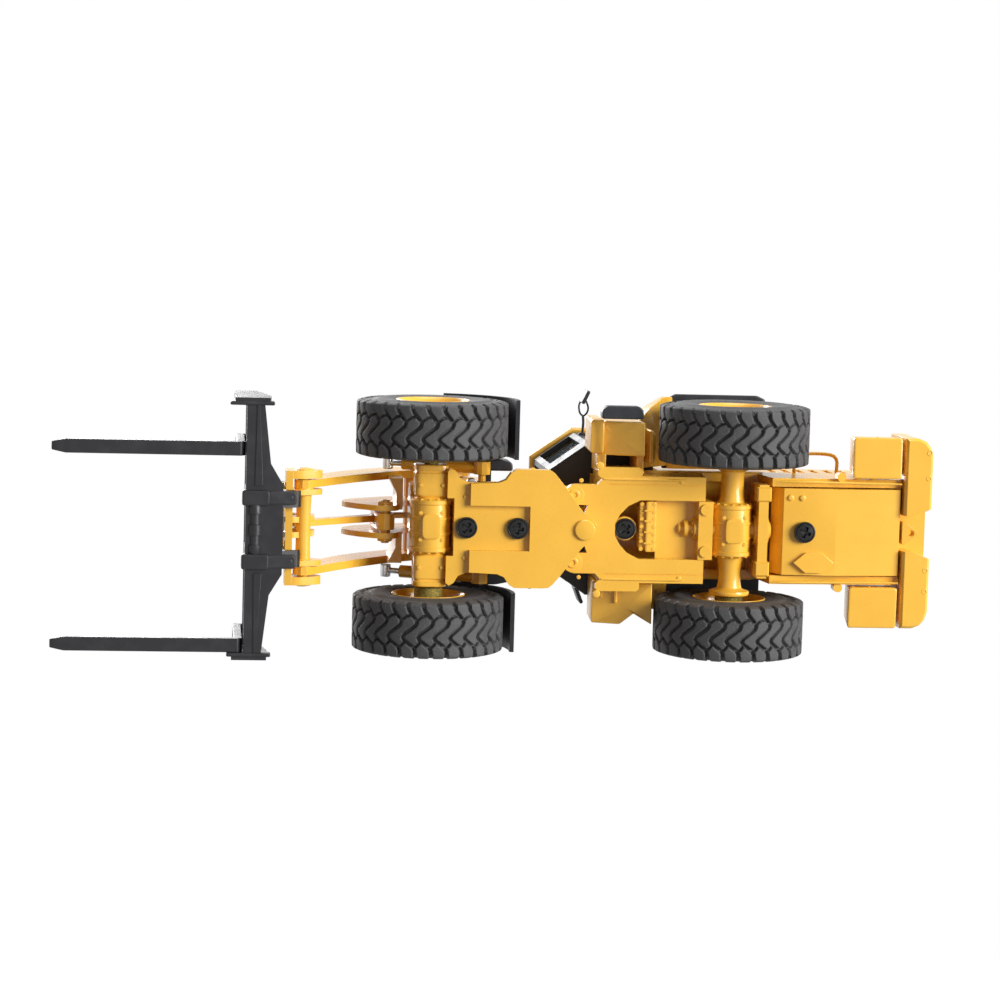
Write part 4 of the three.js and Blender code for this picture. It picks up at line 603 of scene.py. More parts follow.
# %% Rims with wheel nuts
def nut(centre, radius, height, axis="x", sides=6, turn=0.0):
    """A chamfered many-sided head: rings of the same polygon, drawn in at the top."""
    profile = np.array([(0, 1), (0.75, 1), (0.95, 0.9), (1.0, 0.72), (1.0, 0.3)]) * (height, radius)
    angle = np.arange(sides) * 2 * np.pi / sides + turn
    u, v, w = AXES[axis]
    circle = np.cos(angle)[:, None] * u + np.sin(angle)[:, None] * v
    rings = profile[:, None, 1:] * circle[None] + profile[:, None, :1] * w
    return skin(rings + np.asarray(centre))


def round_about(count, radius, axis="x", turn=0.0):
    """Places evenly round an axis."""
    angle = np.arange(count) * 2 * np.pi / count + turn
    u, v, _ = AXES[axis]
    return radius * (np.cos(angle)[:, None] * u + np.sin(angle)[:, None] * v)


# (outwards, radius) in millimetres: over the hub, down the dish, over the lip, and back inside
RIM_PROFILE = [
    (5.3, 0.0), (5.3, 1.5), (5.15, 1.9), (4.7, 2.15), (4.4, 2.3), (4.3, 2.6), (4.25, 3.0),
    (3.9, 3.25), (2.2, 3.5), (1.65, 3.8), (1.45, 4.3), (1.45, 5.9), (1.75, 6.2), (2.9, 6.6),
    (3.5, 7.0), (4.6, 7.2), (5.7, 7.5), (6.3, 7.8), (6.6, 8.1), (6.78, 8.3), (6.82, 8.45),
    (6.75, 8.58), (6.4, 8.62),
    (-6.1, 8.62), (-6.35, 8.58), (-6.42, 8.45), (-6.38, 8.3), (-6.1, 8.0), (-5.2, 7.75),
    (-3.0, 7.5), (-1.2, 7.1), (-0.4, 6.4), (-0.1, 4.6), (-0.4, 3.7), (-4.2, 3.3),
    (-4.35, 3.1), (-4.35, 2.2), (-4.2, 2.0), (0.6, 2.0), (0.6, 0.0),
]
for name in WHEELS:
    middle = centre_of(name + "_rim")
    outward = 1 if middle[0] > 0 else -1
    dish = middle + np.array([outward * 1.3 * MM, 0, 0])
    hub = middle + np.array([outward * 5.1 * MM, 0, 0])
    parts = [turned(np.array(RIM_PROFILE) * (outward * MM, MM), middle, "x", 96)]
    for place in round_about(12, 5.1 * MM):
        parts.append(nut(dish + place, 0.55 * MM, outward * 0.75 * MM, "x", 6, 0.3))
    for place in round_about(6, 1.1 * MM, "x", 0.2):
        parts.append(nut(hub + place, 0.3 * MM, outward * 0.45 * MM, "x"))
    make(name + "_wheel_disc", parts, name + "_wheel", "yellow_paint", 40, [name + "_rim"])

# %% [markdown]
# The wheels turn on brass shafts. Where a shaft shows between axle and rim it is knurled, so
# that the press fit holds. The knurl is a ripple of the radius that leans one way on one row
# and the other way on the next, which gives the crossed ridges.


# %% Knurled shafts
def knurl(angle, row):
    """Crossed ridges: a ripple round the shaft whose phase goes back and forth along it."""
    return 1 + 0.016 * np.cos(48 * angle + np.pi * (row % 2))


STUB, COLLAR = 1.58 * MM, 3.25 * MM
for name, body in (("front_shaft", "front"), ("rear_shaft", "rear_axle")):
    middle, (low, high) = centre_of(name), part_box(name)
    reach = (high[0] - low[0]) / 2
    first = 14.6 if body == "front" else 15.4
    collar = np.linspace(first, 17.6, 25) * MM
    profile = [(-reach, 0.0), (-reach, 1.3 * MM), (-reach + 0.3 * MM, STUB), (-17.68 * MM, STUB)]
    profile += [(-a, COLLAR) for a in collar[::-1]] + [((0.12 - first) * MM, STUB)]
    profile += [(-a, r) for a, r in profile[::-1]]
    parts = [turned(profile, middle, "x", 192, knurl)]
    make(name + "_knurled", parts, body, "brass", 20, [name])

# %% [markdown]
# The axle housings are castings that change from a square box to a round drum and back. Such
# a form is a loft: rings whose half widths, centre and squareness change along the axle. A
# superellipse gives one ring, round at power 2 and nearly square at power 8.


# %% Lofted axle housings
def loft(stations, centre, axis="x", sides=64):
    """Superellipse rings; a station is (along, half u, half v, middle u, middle v, power)."""
    rows = np.asarray(stations, float)
    angle = (np.arange(sides) + 0.5) * 2 * np.pi / sides
    power = 2 / rows[:, 5:6]
    u, v, w = AXES[axis]
    across = np.sign(np.cos(angle)) * np.abs(np.cos(angle)) ** power * rows[:, 1:2] + rows[:, 3:4]
    upward = np.sign(np.sin(angle)) * np.abs(np.sin(angle)) ** power * rows[:, 2:3] + rows[:, 4:5]
    rings = across[..., None] * u + upward[..., None] * v + rows[:, 0][:, None, None] * w
    return skin(rings * MM + np.asarray(centre))


def mirrored(half):
    """A station list from the middle outwards, with its mirror image put before it."""
    return [(-row[0], *row[1:]) for row in half[:0:-1]] + half


def even(rows):
    """Stations with equal half widths round the axle's own line, from (along, half, power)."""
    return [(along, half, half, 0, 0, power) for along, half, power in rows]


DRUM = even([
    (0.0, 4.75, 2), (1.4, 4.75, 2), (1.5, 4.9, 2), (2.0, 4.9, 2), (2.1, 4.72, 2),
    (4.9, 4.62, 2), (5.1, 4.85, 2), (5.9, 4.85, 2), (6.1, 4.6, 2), (6.2, 3.9, 2.2),
])
BOX_END = even([
    (6.6, 3.5, 2.6), (7.0, 3.72, 5), (7.4, 3.9, 6), (12.2, 3.9, 6), (12.4, 3.65, 6),
    (12.9, 3.65, 5), (13.0, 3.95, 5), (14.0, 3.95, 4), (14.18, 3.75, 4), (14.2, 3.2, 3),
])
TUBE_END = even([
    (6.6, 3.1, 2), (7.6, 2.85, 2), (9.6, 2.65, 2), (12.4, 2.65, 2), (13.7, 2.9, 2),
    (14.1, 3.5, 2), (14.3, 4.25, 2), (14.45, 4.6, 2), (14.9, 4.75, 2), (15.35, 4.6, 2),
    (15.5, 4.2, 2), (15.5, 3.2, 2),
])


def cover(centre, half, height, power=7):
    """A raised cover that faces down, with a rounded rim."""
    rows = [(0, 1.0), (-0.75, 1.0), (-0.93, 0.97), (-1.0, 0.9), (-1.0, 0.5)]
    stations = [(a * height, half[0] * r, half[1] * r, 0, 0, power) for a, r in rows]
    return loft(stations, centre, "z", 48)


def axle_parts(middle, stations):
    """The housing, its cover plate with a lug pattern, and bolts round both drum flanges."""
    low = middle - np.array([0, 0, 4.55 * MM])
    parts = [loft(mirrored(stations), middle)]
    parts.append(cover(low + np.array([0, 0, 0.15 * MM]), (2.9, 2.1), 0.55, 5))
    for side in (-1, 1):
        flange = middle + np.array([side * 5.9 * MM, 0, 0])
        for place in round_about(14, 4.35 * MM, "x", 0.11):
            parts.append(nut(flange + place, 0.42 * MM, side * 0.45 * MM, "x"))
        for across in (-1, 1):
            corner = low + np.array([side * 3.1, across * 2.5, 0.75]) * MM
            parts.append(nut(corner, 0.5 * MM, -0.5 * MM, "z"))
    return parts


middle = centre_of("front_shaft")
parts = axle_parts(middle, DRUM + BOX_END)
for side in (-1, 1):
    for across in (-1, 1):
        foot = middle + np.array([side * 9.6, across * 2.6, -3.8]) * MM
        parts.append(nut(foot, 0.5 * MM, -0.4 * MM, "z"))
make("front_axle_casting", parts, "front", "yellow_paint", 38, ["front_axle"])
middle = centre_of("rear_shaft")
parts = axle_parts(middle, DRUM + TUBE_END)
boss = [(-9.2, 0.0), (-9.2, 1.9), (-9.0, 2.15), (-4.0, 2.2)]
boss += [(-along, radius) for along, radius in boss[::-1]]
parts.append(turned(np.array(boss) * MM, middle, "y", 40))
make("rear_axle_casting", parts, "rear_axle", "yellow_paint", 38, ["rear_axle"])

# %% [markdown]
# Four black cross-head screws hold the two halves of the body. A screw head is a shallow dome
# with a cross-shaped recess that narrows as it goes in. A disc of rings and spokes is fine
# enough to carry the recess as a height: how deep a point lies depends on its distance from
# the two bars of the cross.


# %% Cross-head screws
def screw_head(centre, radius, height, turn):
    """A domed disc that faces down; the cross is a height that sinks it.

    A point lies in the cross where the larger of |u| / 0.5 and |v| / 0.13 is under 1, or the
    same with u and v exchanged. The dome rises as 0.72 + 0.28 * (1 - share squared).
    """
    rim = [0.97, 0.99, 1.0, 1.0, 0.98]
    share = np.concatenate([np.linspace(0, 0.62, 34), np.linspace(0.66, 0.93, 6), rim])
    angle = np.arange(96) * 2 * np.pi / 96
    x, y = share[:, None] * np.cos(angle), share[:, None] * np.sin(angle)
    u = np.abs(x * math.cos(turn) + y * math.sin(turn))
    v = np.abs(y * math.cos(turn) - x * math.sin(turn))
    bars = np.minimum(np.maximum(u / 0.5, v / 0.13), np.maximum(v / 0.5, u / 0.13))
    cross = 1 - step_between(bars, 0.8, 1.12)
    flat = np.ones(len(share))
    flat[-4:] = (0.9, 0.72, 0.4, 0.0)
    dome = (0.72 + 0.28 * (1 - share**2)) * flat
    rise = dome[:, None] * height - cross * height * (0.95 - 0.5 * share[:, None])
    ring = step_between(share, 0.78, 0.82) * (1 - step_between(share, 0.84, 0.88))
    rise = rise - 0.12 * MM * ring[:, None]
    rings = np.stack([x * radius, y * radius, -rise], 2) + np.asarray(centre)
    return skin(rings)


SCREW_TURNS = {"front_screw_1": 0.6, "front_screw_2": 0.15, "rear_screw_1": 0.9, "rear_screw_2": 0.35}
for name, turn in SCREW_TURNS.items():
    body = name.split("_")[0]
    low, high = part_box(name)
    middle = centre_of(name)
    middle[2] = high[2]
    radius, height = (high[0] - low[0]) / 2, high[2] - low[2]
    parts = [screw_head(middle, radius, height * 0.98, turn)]
    make(name + "_head", parts, body, "black_paint", 30, [name], blued_steel)

# %% [markdown]
# Boxes, steps and panels of a die-cast toy are never true boxes: they taper so that they come
# out of the mould, and every corner is round. A block here is a plan outline with rounded
# corners, drawn in near its top and bottom, whose underside may slope.


# %% Blocks with rounded corners and drafted sides
def round_corners(plan, radius, chords=4):
    """Each corner of an outline gives way to a quadratic curve that starts radius before it."""
    plan = np.asarray(plan, float)
    before, after = np.roll(plan, 1, 0) - plan, np.roll(plan, -1, 0) - plan
    long_before, long_after = np.linalg.norm(before, axis=1), np.linalg.norm(after, axis=1)
    reach = np.minimum(radius, 0.45 * np.minimum(long_before, long_after))
    start = plan + before / long_before[:, None] * reach[:, None]
    end = plan + after / long_after[:, None] * reach[:, None]
    t = np.linspace(0, 1, chords + 1)[None, :, None]
    curve = (1 - t) ** 2 * start[:, None] + 2 * t * (1 - t) * plan[:, None] + t**2 * end[:, None]
    return curve.reshape(-1, 2)


def block(plan, low, high, corner=0.5, edge=0.25, draft=(0.0, 0.0), slope=(0.0, 0.0), taper=1.0):
    """A prism in millimetres whose corners and edges are rounded.

    Eight copies of the outline stand above each other, four near the underside and four near
    the top. Each is scaled about its middle by 1 - inset / size; draft shifts the top ones,
    taper scales them, and slope lifts the underside along x and y.
    """
    outline = round_corners(plan, corner)
    middle = outline.mean(0)
    size = np.abs(outline - middle).max(0)
    inset = edge * np.array([1.4, 1.0, 0.29, 0.0, 0.0, 0.29, 1.0, 1.4])
    lift = edge * np.array([0.0, 0.0, 0.29, 1.0, -1.0, -0.29, 0.0, 0.0])
    level = np.repeat([0.0, 1.0], 4)
    rings = []
    for k in range(8):
        scale = (1 - inset[k] / size) * (1 + (taper - 1) * level[k])
        flat = middle + (outline - middle) * scale + level[k] * np.asarray(draft)
        off = outline - middle
        under = low + slope[0] * off[:, 0] + slope[1] * off[:, 1]
        height = under * (1 - level[k]) + high * level[k]
        rings.append(np.column_stack([flat, height + lift[k]]))
    rings = np.array(rings)
    return skin(rings * MM)


def rect(x, y):
    """The outline of a rectangle from its two x and two y."""
    return [(x[0], y[0]), (x[1], y[0]), (x[1], y[1]), (x[0], y[1])]


def other_side(plan):
    """The outline mirrored to the other side of the loader."""
    return [(-x, y) for x, y in plan]


# %% [markdown]
# Low on both flanks the real machine carries a box for its batteries, and before the rear wheel
# a step to climb up by: on the left a slotted box with a rubber tread, on the right a fuel tank
# with a notch. Each is one block or a few, and their undersides rise towards the back.

# %% Side boxes and the two steps
plug_profile = [(-0.35, 0.0), (-0.35, 0.5), (-0.1, 0.7), (0.5, 0.75), (0.5, 0.0)]
box_plan = rect((12.85, 22.5), (83.1, 94.7))
for name, side in (("left_side_box", 1), ("right_side_box", -1)):
    plan = box_plan if side > 0 else other_side(box_plan)
    parts = [block(plan, 13.5, 26.9, 0.7, 0.35, (0.0, 1.2), (0.03 * side, 0.0), 0.86)]
    drain = np.array([side * 21.9, 89.0, 15.0]) * MM
    parts.append(turned(np.array(plug_profile) * MM, drain, "z", 16))
    make(name + "_casting", parts, "rear", "yellow_paint", 40, [name])

STEP_SLOPE = (0, -0.42)
TANK_SLOPE = -0.38
panel_plan = [(16.9, 23.1), (23.0, 23.1), (23.2, 24.8), (24.8, 24.8), (24.8, 33.9), (16.9, 33.9)]
ribs = [
    (rect((12.8, 17.2), (23.2, 25.2)), 18.6),
    (rect((12.8, 17.2), (32.3, 33.9)), 17.2),
    (rect((12.8, 13.6), (23.2, 33.9)), 18.0),
]
parts = [
    block(rect((17.2, 25.15), (21.6, 24.6)), 18.6, 33.9, 0.7, 0.3, (0, 0.6), STEP_SLOPE),
    block(panel_plan, 18.3, 33.8, 0.4, 0.25, (0, 0.3), (0.04, STEP_SLOPE[1]), 0.97),
    block(rect((21.9, 24.3), (26.2, 32.4)), 18.05, 21.5, 0.3, 0.15, (0, 0), STEP_SLOPE, 0.98),
]
parts += [block(plan, low, 30.0, 0.3, 0.2, (0, 0.2), STEP_SLOPE) for plan, low in ribs]
parts.append(block(rect((15.0, 22.8), (35.3, 36.3)), 17.9, 33.0, 0.4, 0.3, (0, 0), STEP_SLOPE))
parts.append(block(rect((15.0, 22.0), (36.2, 37.0)), 20.0, 33.0, 0.3, 0.2, (0, 0), STEP_SLOPE))
make("left_step_casting", parts, "rear", "yellow_paint", 40, ["left_step"])
# Painted shade: the slots are not cut into the step; thin near-black strips stand where their shaded
# insides would show.
slot_shade_strips = [
    block(rect((21.75, 22.0), (26.3, 32.3)), 17.95, 19.4, 0.12, 0.05, (0, 0), STEP_SLOPE),
    block(rect((19.6, 21.4), (29.22, 29.32)), 18.2, 19.4, 0.04, 0.02, (0, 0), STEP_SLOPE),
]
make("left_step_slot_shade_strips", slot_shade_strips, "rear", "black_paint", 40, finish=blued_steel)
tread_plan = [(25.5, 23.7), (25.5, 33.5), (27.6, 33.5), (28.55, 32.5), (28.55, 24.9), (27.6, 23.7)]
parts = [block(tread_plan, 16.1, 19.5, 0.6, 0.3)]
make("left_tread_grip", parts, "rear", "black_plastic", 40, ["left_tread"])
tank_plan = [
    (-12.85, 23.2), (-12.85, 36.7), (-22.7, 36.75), (-20.3, 33.9), (-20.1, 32.9),
    (-23.0, 29.6), (-23.0, 23.2),
]
parts = [block(tank_plan, 18.0, 33.9, 0.4, 0.3, (0, 0.4), (0.0, TANK_SLOPE), 0.97)]
for along, reach in ((25.2, 16.9), (28.5, 18.0)):
    low = 17.9 + (along - 30) * TANK_SLOPE
    strip = rect((-reach, -13.2), (along - 0.4, along + 0.4))
    parts.append(block(strip, low, 20.5, 0.35, 0.3))
make("right_tank_casting", parts, "rear", "yellow_paint", 40, ["right_step"])

# %% [markdown]
# Behind each step the body flares out to carry the rear fender, as a loader's cab deck does.
# The fender itself is a flat black slab with its corners cut off, on a yellow sill that shows
# from below. Two blocks and a slab are enough, and the slab stays clear of the swinging tyre.

# %% Rear fenders and the flares before them
flares = {
    "left": [(12.95, 34.1), (24.4, 34.1), (26.9, 37.0), (29.5, 41.2), (29.5, 44.0), (12.95, 44.0)],
    "right": [(12.95, 34.1), (18.5, 34.1), (20.5, 37.0), (22.0, 41.0), (22.0, 44.0), (12.95, 44.0)],
}
slab = [(12.1, 41.9), (28.6, 41.9), (30.15, 44.6), (30.15, 64.8), (29.2, 66.9), (12.1, 66.9)]
sill = [(12.2, 42.9), (14.3, 42.9), (14.6, 45.2), (14.6, 64.2), (14.3, 66.0), (12.2, 66.0)]
for side in ("left", "right"):
    plans = [flares[side], sill, slab]
    if side == "right":
        plans = [other_side(plan) for plan in plans]
    parts = [
        block(plans[0], 34.2, 40.7, 0.5, 0.25, (0, 0), (0, 1.15)),
        block(plans[1], 38.6, 40.8, 0.5, 0.2),
    ]
    make(side + "_rear_flare", parts, "rear", "yellow_paint")
    parts = [block(plans[2], 40.3, 41.5, 0.5, 0.35, (0, 0), (0, 0), 0.985)]
    make(side + "_rear_fender_slab", parts, "rear", "black_plastic", 40, [side + "_rear_fender"])

# %% [markdown]
# The mirrors hang on thin bent arms, so that the driver sees past the cab. A bevelled curve
# would draw such an arm too, but its ends stay open. Here it is a round rod along a smooth line:
# at each point of the line a small ring stands square to the direction of travel.


# %% Mirrors on bent arms
def rod_along(points, radius, sides=12, samples=8):
    """Rings square to a smooth line, whose own axes come from one fixed direction.

    Across is ahead x fixed, upward is ahead x across, and a point of the ring is
    radius * (cos angle * across + sin angle * upward).
    """
    line = smoothed(np.asarray(points, float), samples)
    ahead = np.gradient(line, axis=0)
    ahead /= np.linalg.norm(ahead, axis=1)[:, None]
    across = np.cross(ahead, [0.31, 0.2, 0.93])
    across /= np.linalg.norm(across, axis=1)[:, None]
    upward = np.cross(ahead, across)
    angle = np.arange(sides)[None, :, None] * 2 * np.pi / sides
    circle = np.cos(angle) * across[:, None] + np.sin(angle) * upward[:, None]
    swell = np.full(len(line), radius)
    swell[[0, -1]] *= 0.6
    return skin((line[:, None] + swell[:, None, None] * circle) * MM)


def mirror_head(start, end, low, high, thick):
    """A rounded slab that stands between two plan points."""
    start, end = np.asarray(start, float), np.asarray(end, float)
    ahead = (end - start) / np.linalg.norm(end - start)
    off = np.array([-ahead[1], ahead[0]]) * thick / 2
    return block([start - off, end - off, end + off, start + off], low, high, 0.4, 0.3, taper=0.96)


upper = [(27.2, 24.8, 61.2), (25.6, 24.1, 61.0), (23.9, 24.2, 60.0), (23.0, 24.9, 59.0)]
lower = [(27.2, 25.2, 57.2), (25.4, 25.9, 57.4), (23.9, 25.7, 58.2), (23.0, 24.9, 59.0)]
stalk = [(23.2, 24.9, 59.0), (21.5, 25.0, 58.9), (20.0, 24.9, 58.8), (18.3, 24.7, 58.6)]
parts = [mirror_head((26.3, 24.4), (29.5, 25.9), 55.8, 62.3, 0.9)]
parts += [rod_along(upper, 0.24), rod_along(lower, 0.24), rod_along(stalk, 0.32)]
parts.append(nut(np.array([18.3, 24.6, 58.6]) * MM, 0.8 * MM, 0.7 * MM, "x", 12))
make("left_mirror_set", parts, "rear", "black_plastic", 40, ["left_mirror"])
stalk = [(-20.6, 24.6, 60.6), (-19.6, 24.2, 60.0), (-18.9, 24.4, 59.0), (-18.3, 24.7, 58.6)]
parts = [mirror_head((-19.2, 23.95), (-23.3, 25.6), 55.8, 62.3, 0.9), rod_along(stalk, 0.3)]
parts.append(nut(np.array([-18.3, 24.6, 58.6]) * MM, 0.8 * MM, -0.7 * MM, "x", 12))
make("right_mirror_set", parts, "rear", "black_plastic", 40, ["right_mirror"])

# %% [markdown]
# The small things that the photograph shows on the plates: hollow rivets on the steering ears,
# the flat head of the hitch pin, bolts on the rails and the coupler, and the hexagon bosses of
# the boom brackets. Painted dots or a bump map would vanish at the outline, so they are turned
# profiles and nuts again, a few dozen faces each.


# %% Rivets, pins, bolts and bosses
def head_of(centre, radius, height, axis="z", sides=28, hollow=0.0):
    """A flat head with a rounded rim and, if hollow, a dished middle; height may be negative."""
    profile = [(0, 0.0), (0, radius), (0.6, radius), (0.88, 0.93 * radius), (1, 0.8 * radius)]
    if hollow:
        profile += [(1, 1.15 * hollow), (0.9, hollow), (0.1, 0.9 * hollow), (0.1, 0.0)]
    else:
        profile.append((1, 0.0))
    rows = np.array(profile) * (height * MM, MM)
    return turned(rows, np.asarray(centre) * MM, axis, sides)


def bolt(centre, radius, height, axis="z", sides=6, turn=0.0):
    """A nut() whose numbers are all in millimetres."""
    return nut(np.array(centre) * MM, radius * MM, height * MM, axis, sides, turn)


parts = []
for side in (1, -1):
    parts.append(head_of((side * 7.9, 17.4, 13.3), 1.3, -0.3, "z", 28, 0.62))
    parts.append(head_of((side * 15.0 - 0.2, 23.2, 13.6), 0.9, -0.35))
    for y in (84.5, 88.3):
        parts.append(bolt((side * 13.3 - 0.2, y, 16.1), 0.75, -1.1, "z", 12))
    for y in (18.9, 42.5, 95.0):
        parts.append(head_of((side * 11.3, y, 13.5 if y < 50 else 16.0), 0.5, -0.2, "z", 16))
parts.append(head_of((8.0, 68.6, 14.6), 0.75, -0.55))
parts.append(head_of((8.0, 71.4, 14.4), 0.75, -0.55))
make("rear_frame_fasteners", parts, "rear", "yellow_paint")
parts = [head_of((0, 19.73, 11.2), 2.4, -0.72, "z", 40), head_of((0, 19.73, 30.0), 1.85, 5.0, "z", 24)]
make("hitch_pin_head", parts, "front", "yellow_paint", 30, ["hitch_pin"])
parts = []
for side in (1, -1):
    parts.append(bolt((side * 13.4, 7.4, 13.2), 0.75, -0.5, "z", 12))
    for y in (-8.0, 4.3):
        parts.append(head_of((side * 7.1, y, 12.6), 0.55, -0.25, "z", 16))
make("front_frame_fasteners", parts, "front", "yellow_paint")
parts = []
for side in (1, -1):
    parts.append(head_of((side * 13.0, -45.475, 8.6), 1.75, side * 0.5, "x", 28, 0.7))
    for z in (12.0, 6.3):
        parts.append(bolt((side * 10.0, -48.2, z), 0.55, -0.4, "y"))
make("coupler_pin_heads", parts, "coupler", "yellow_paint")
parts = []
for side in (1, -1):
    parts.append(bolt((side * 3.9, -25.775, 23.5), 1.9, side * 0.8, "x", 6, 0.3))
    parts.append(head_of((side * 4.6, -25.775, 23.5), 1.0, side * 0.5, "x", 20))
    parts.append(head_of((side * 11.8, -7.775, 45.0), 1.6, side * 0.6, "x", 28, 0.6))
make("boom_bosses", parts, "boom", "yellow_paint")

# %% [markdown]
# Seen from below, the middle of the rear frame is a D-shaped opening with a web across it, a
# ribbed gearbox standing through the web and the pinion flange of the rear axle. On the real
# machine the gearbox splits along a bolted joint, so here it is a stack of blocks with a row of
# bolts on each side, and the flange is turned with its bolts facing the shaft.

# %% Gearbox, web and pinion flange
parts = [
    block(rect((-9.2, 9.4), (37.0, 48.0)), 16.3, 17.0, 0.4, 0.15, (0, 0), (0.03, 0.02)),
    block(rect((-5.3, 6.6), (34.4, 36.9)), 14.1, 20.0, 0.5, 0.35, (0, 0), (0, 0.08)),
    block(rect((-4.6, 5.8), (33.0, 34.8)), 14.9, 20.0, 0.5, 0.3),
]
for x in np.linspace(-4.6, 5.9, 7):
    parts.append(bolt((x, 33.5, 15.1), 0.55, -0.55, "z", 10))
    parts.append(bolt((x, 36.3, 14.5), 0.5, -0.45, "z", 10))
flange = [
    (0.0, 0.0), (0.0, 1.1), (1.2, 1.1), (1.3, 2.0), (2.1, 2.1), (2.2, 1.4),
    (3.4, 1.5), (3.5, 2.7), (4.5, 2.8), (4.6, 1.2), (6.0, 1.2), (6.0, 0.0),
]
parts.append(turned(np.array(flange) * MM, np.array([0.2, 42.4, 16.4]) * MM, "y", 32))
for place in round_about(6, 2.0, "y", 0.26):
    parts.append(bolt(place + (0.2, 45.9, 16.4), 0.45, -0.5, "y"))
for x in (-3.2, -0.6, 2.0, 4.4):
    parts.append(block(rect((x - 0.2, x + 0.2), (34.0, 35.9)), 13.8, 15.5, 0.15, 0.1))
make("gearbox_casting", parts, "rear", "yellow_paint", 40, ["gearbox"])

# %% [markdown]
# The pallet carriage hangs on two black hooks, whose arms reach back to the yellow coupler, as
# a quick coupler takes its tools. Between them runs a hinge tube. The carriage's lower beam has
# a folded edge along its front. The hooks are narrow, because the left tine slides up to them.

# %% Carriage hooks, hinge and folded edges
parts = []
for x in (7.2, -7.3):
    parts.append(block(rect((x - 1.75, x + 1.75), (-59.6, -53.4)), 0.5, 4.0, 0.6, 0.35))
    parts.append(block(rect((x - 1.6, x + 1.6), (-54.2, -47.2)), 1.3, 6.0, 0.9, 0.4, (0, 0), (0, 0.1)))
    parts.append(head_of((x, -49.0, 1.9), 1.0, -0.35, "z", 20))
hinge = [
    (-5.8, 0.0), (-5.8, 1.2), (-5.3, 1.5), (-3.6, 1.5), (-3.5, 1.15), (-1.4, 1.15), (-1.3, 1.5),
    (1.0, 1.5), (1.1, 1.15), (3.4, 1.15), (3.5, 1.5), (5.3, 1.5), (5.8, 1.2), (5.8, 0.0),
]
parts.append(turned(np.array(hinge) * MM, np.array([0.1, -56.6, 1.9]) * MM, "x", 24))
parts.append(block(rect((-2.0, -1.2), (-54.4, -51.2)), 1.6, 2.6, 0.25, 0.2))
for ends in ((28.1, 29.0), (-29.0, -28.1)):
    parts.append(block(rect(ends, (-62.6, -52.6)), 0.9, 3.6, 0.4, 0.3))
for side in (1, -1):
    fold = [(side * 9.9, -56.8), (side * 28.2, -56.5), (side * 28.2, -55.9), (side * 9.9, -54.9)]
    parts.append(block(fold, 1.15, 2.2, 0.2, 0.15))
make("carriage_hooks", parts, "coupler", "black_paint")

# %% [markdown]
# The boom's ends carry the coupler on one cross tube with a collar beside each arm. Tube and
# collars are round, so both are turned profiles about the tilt joint's own axis.

# %% Coupler tube
tube = [(-8.9, 0.0), (-8.9, 2.0), (-8.6, 2.2), (-7.6, 2.2), (-7.3, 1.75), (-3.4, 1.65)]
tube += [(-along, radius) for along, radius in tube[::-1]]
collar = [(-0.65, 0.0), (-0.65, 1.9), (-0.45, 2.15), (0.45, 2.15), (0.65, 1.9), (0.65, 0.0)]
tilt_axis = np.array([0.0, -45.475, 8.6]) * MM
parts = [turned(np.array(tube) * MM, tilt_axis, "x", 32)]
for x in (-12.768, -8.736, 8.736, 12.768):
    parts.append(turned(np.array(collar) * MM, tilt_axis + (x * MM, 0, 0), "x", 32))
make("coupler_tube", parts, "coupler", "yellow_paint")

# %% [markdown]
# The front fenders are closed towards the frame by a dark inner wall, which keeps the mud off
# the cylinders. The rear frame's rails end in a folded lip that catches the light as one long
# line: a thin rod shows that line from every side, which a lighter stripe of paint would not.

# %% Fender walls and rail lips
wall = [(12.1, -8.8), (14.7, -7.4), (14.9, 0.6), (14.2, 4.0), (12.1, 4.2)]
for side, plan in (("left", wall), ("right", other_side(wall))):
    parts = [block(plan, 25.0, 33.0, 0.8, 0.4)]
    make(side + "_fender_wall", parts, "front", "black_plastic")
lips = []
for side in (1, -1):
    line = [(side * 11.7, 24.2, 13.45), (side * 11.7, 36.0, 13.45), (side * 11.7, 43.4, 13.45)]
    lips.append(rod_along(line, 0.3, 10, 4))
    line = [(side * 11.9, 66.0, 13.4), (side * 11.8, 76.0, 13.4), (side * 11.7, 94.8, 13.5)]
    lips.append(rod_along(line, 0.28, 10, 4))
    lips.append(head_of((side * 7.9, 17.4, 13.45), 2.3, -0.16, "z", 36))
make("rail_lips", lips, "rear", "yellow_paint")
dips = [head_of((x, 101.2, 13.55), 0.7, -0.12, "z", 20, 0.4) for x in (19.2, 13.2, -8.6, -13.6)]
make("weight_holes", dips, "rear", "yellow_paint")

# %% [markdown]
# The photograph was taken of the loader lying on its right side on a white table, by a camera
# that looks at its underside. The CAD stands on its wheels, so the camera goes below it. Its
# place was found by fitting the wheels, the plates and the fork in the photograph.

# %% The camera below the loader
CAMERA_PLACE = (72.33 * MM, -69.135 * MM, -642.76 * MM)
CAMERA_BACK = (math.sin(0.1006), -math.sin(0.1056), -1.0)
CAMERA_ROLL = 0.0168
SENSOR = 36.0
LENS = SENSOR * 2.865


def unit(vector):
    """The vector divided by its length."""
    return np.asarray(vector, float) / np.linalg.norm(vector)


back = unit(CAMERA_BACK)
side = unit(np.array([0.0, 1.0, 0.0]) - back[1] * back)
up = np.cross(back, side)
right = math.cos(CAMERA_ROLL) * side + math.sin(CAMERA_ROLL) * up
upward = np.cross(back, right)
camera = bpy.data.objects.new("camera", bpy.data.cameras.new("camera"))
camera.data.sensor_width = SENSOR
camera.data.lens = LENS
camera.data.clip_start = 0.01
camera.data.clip_end = 10.0
turn = Matrix([list(right), list(upward), list(back)]).transposed().to_4x4()
camera.matrix_world = Matrix.Translation(CAMERA_PLACE) @ turn
bpy.context.scene.collection.objects.link(camera)
bpy.context.scene.camera = camera
print("lens", round(LENS, 1), "mm")

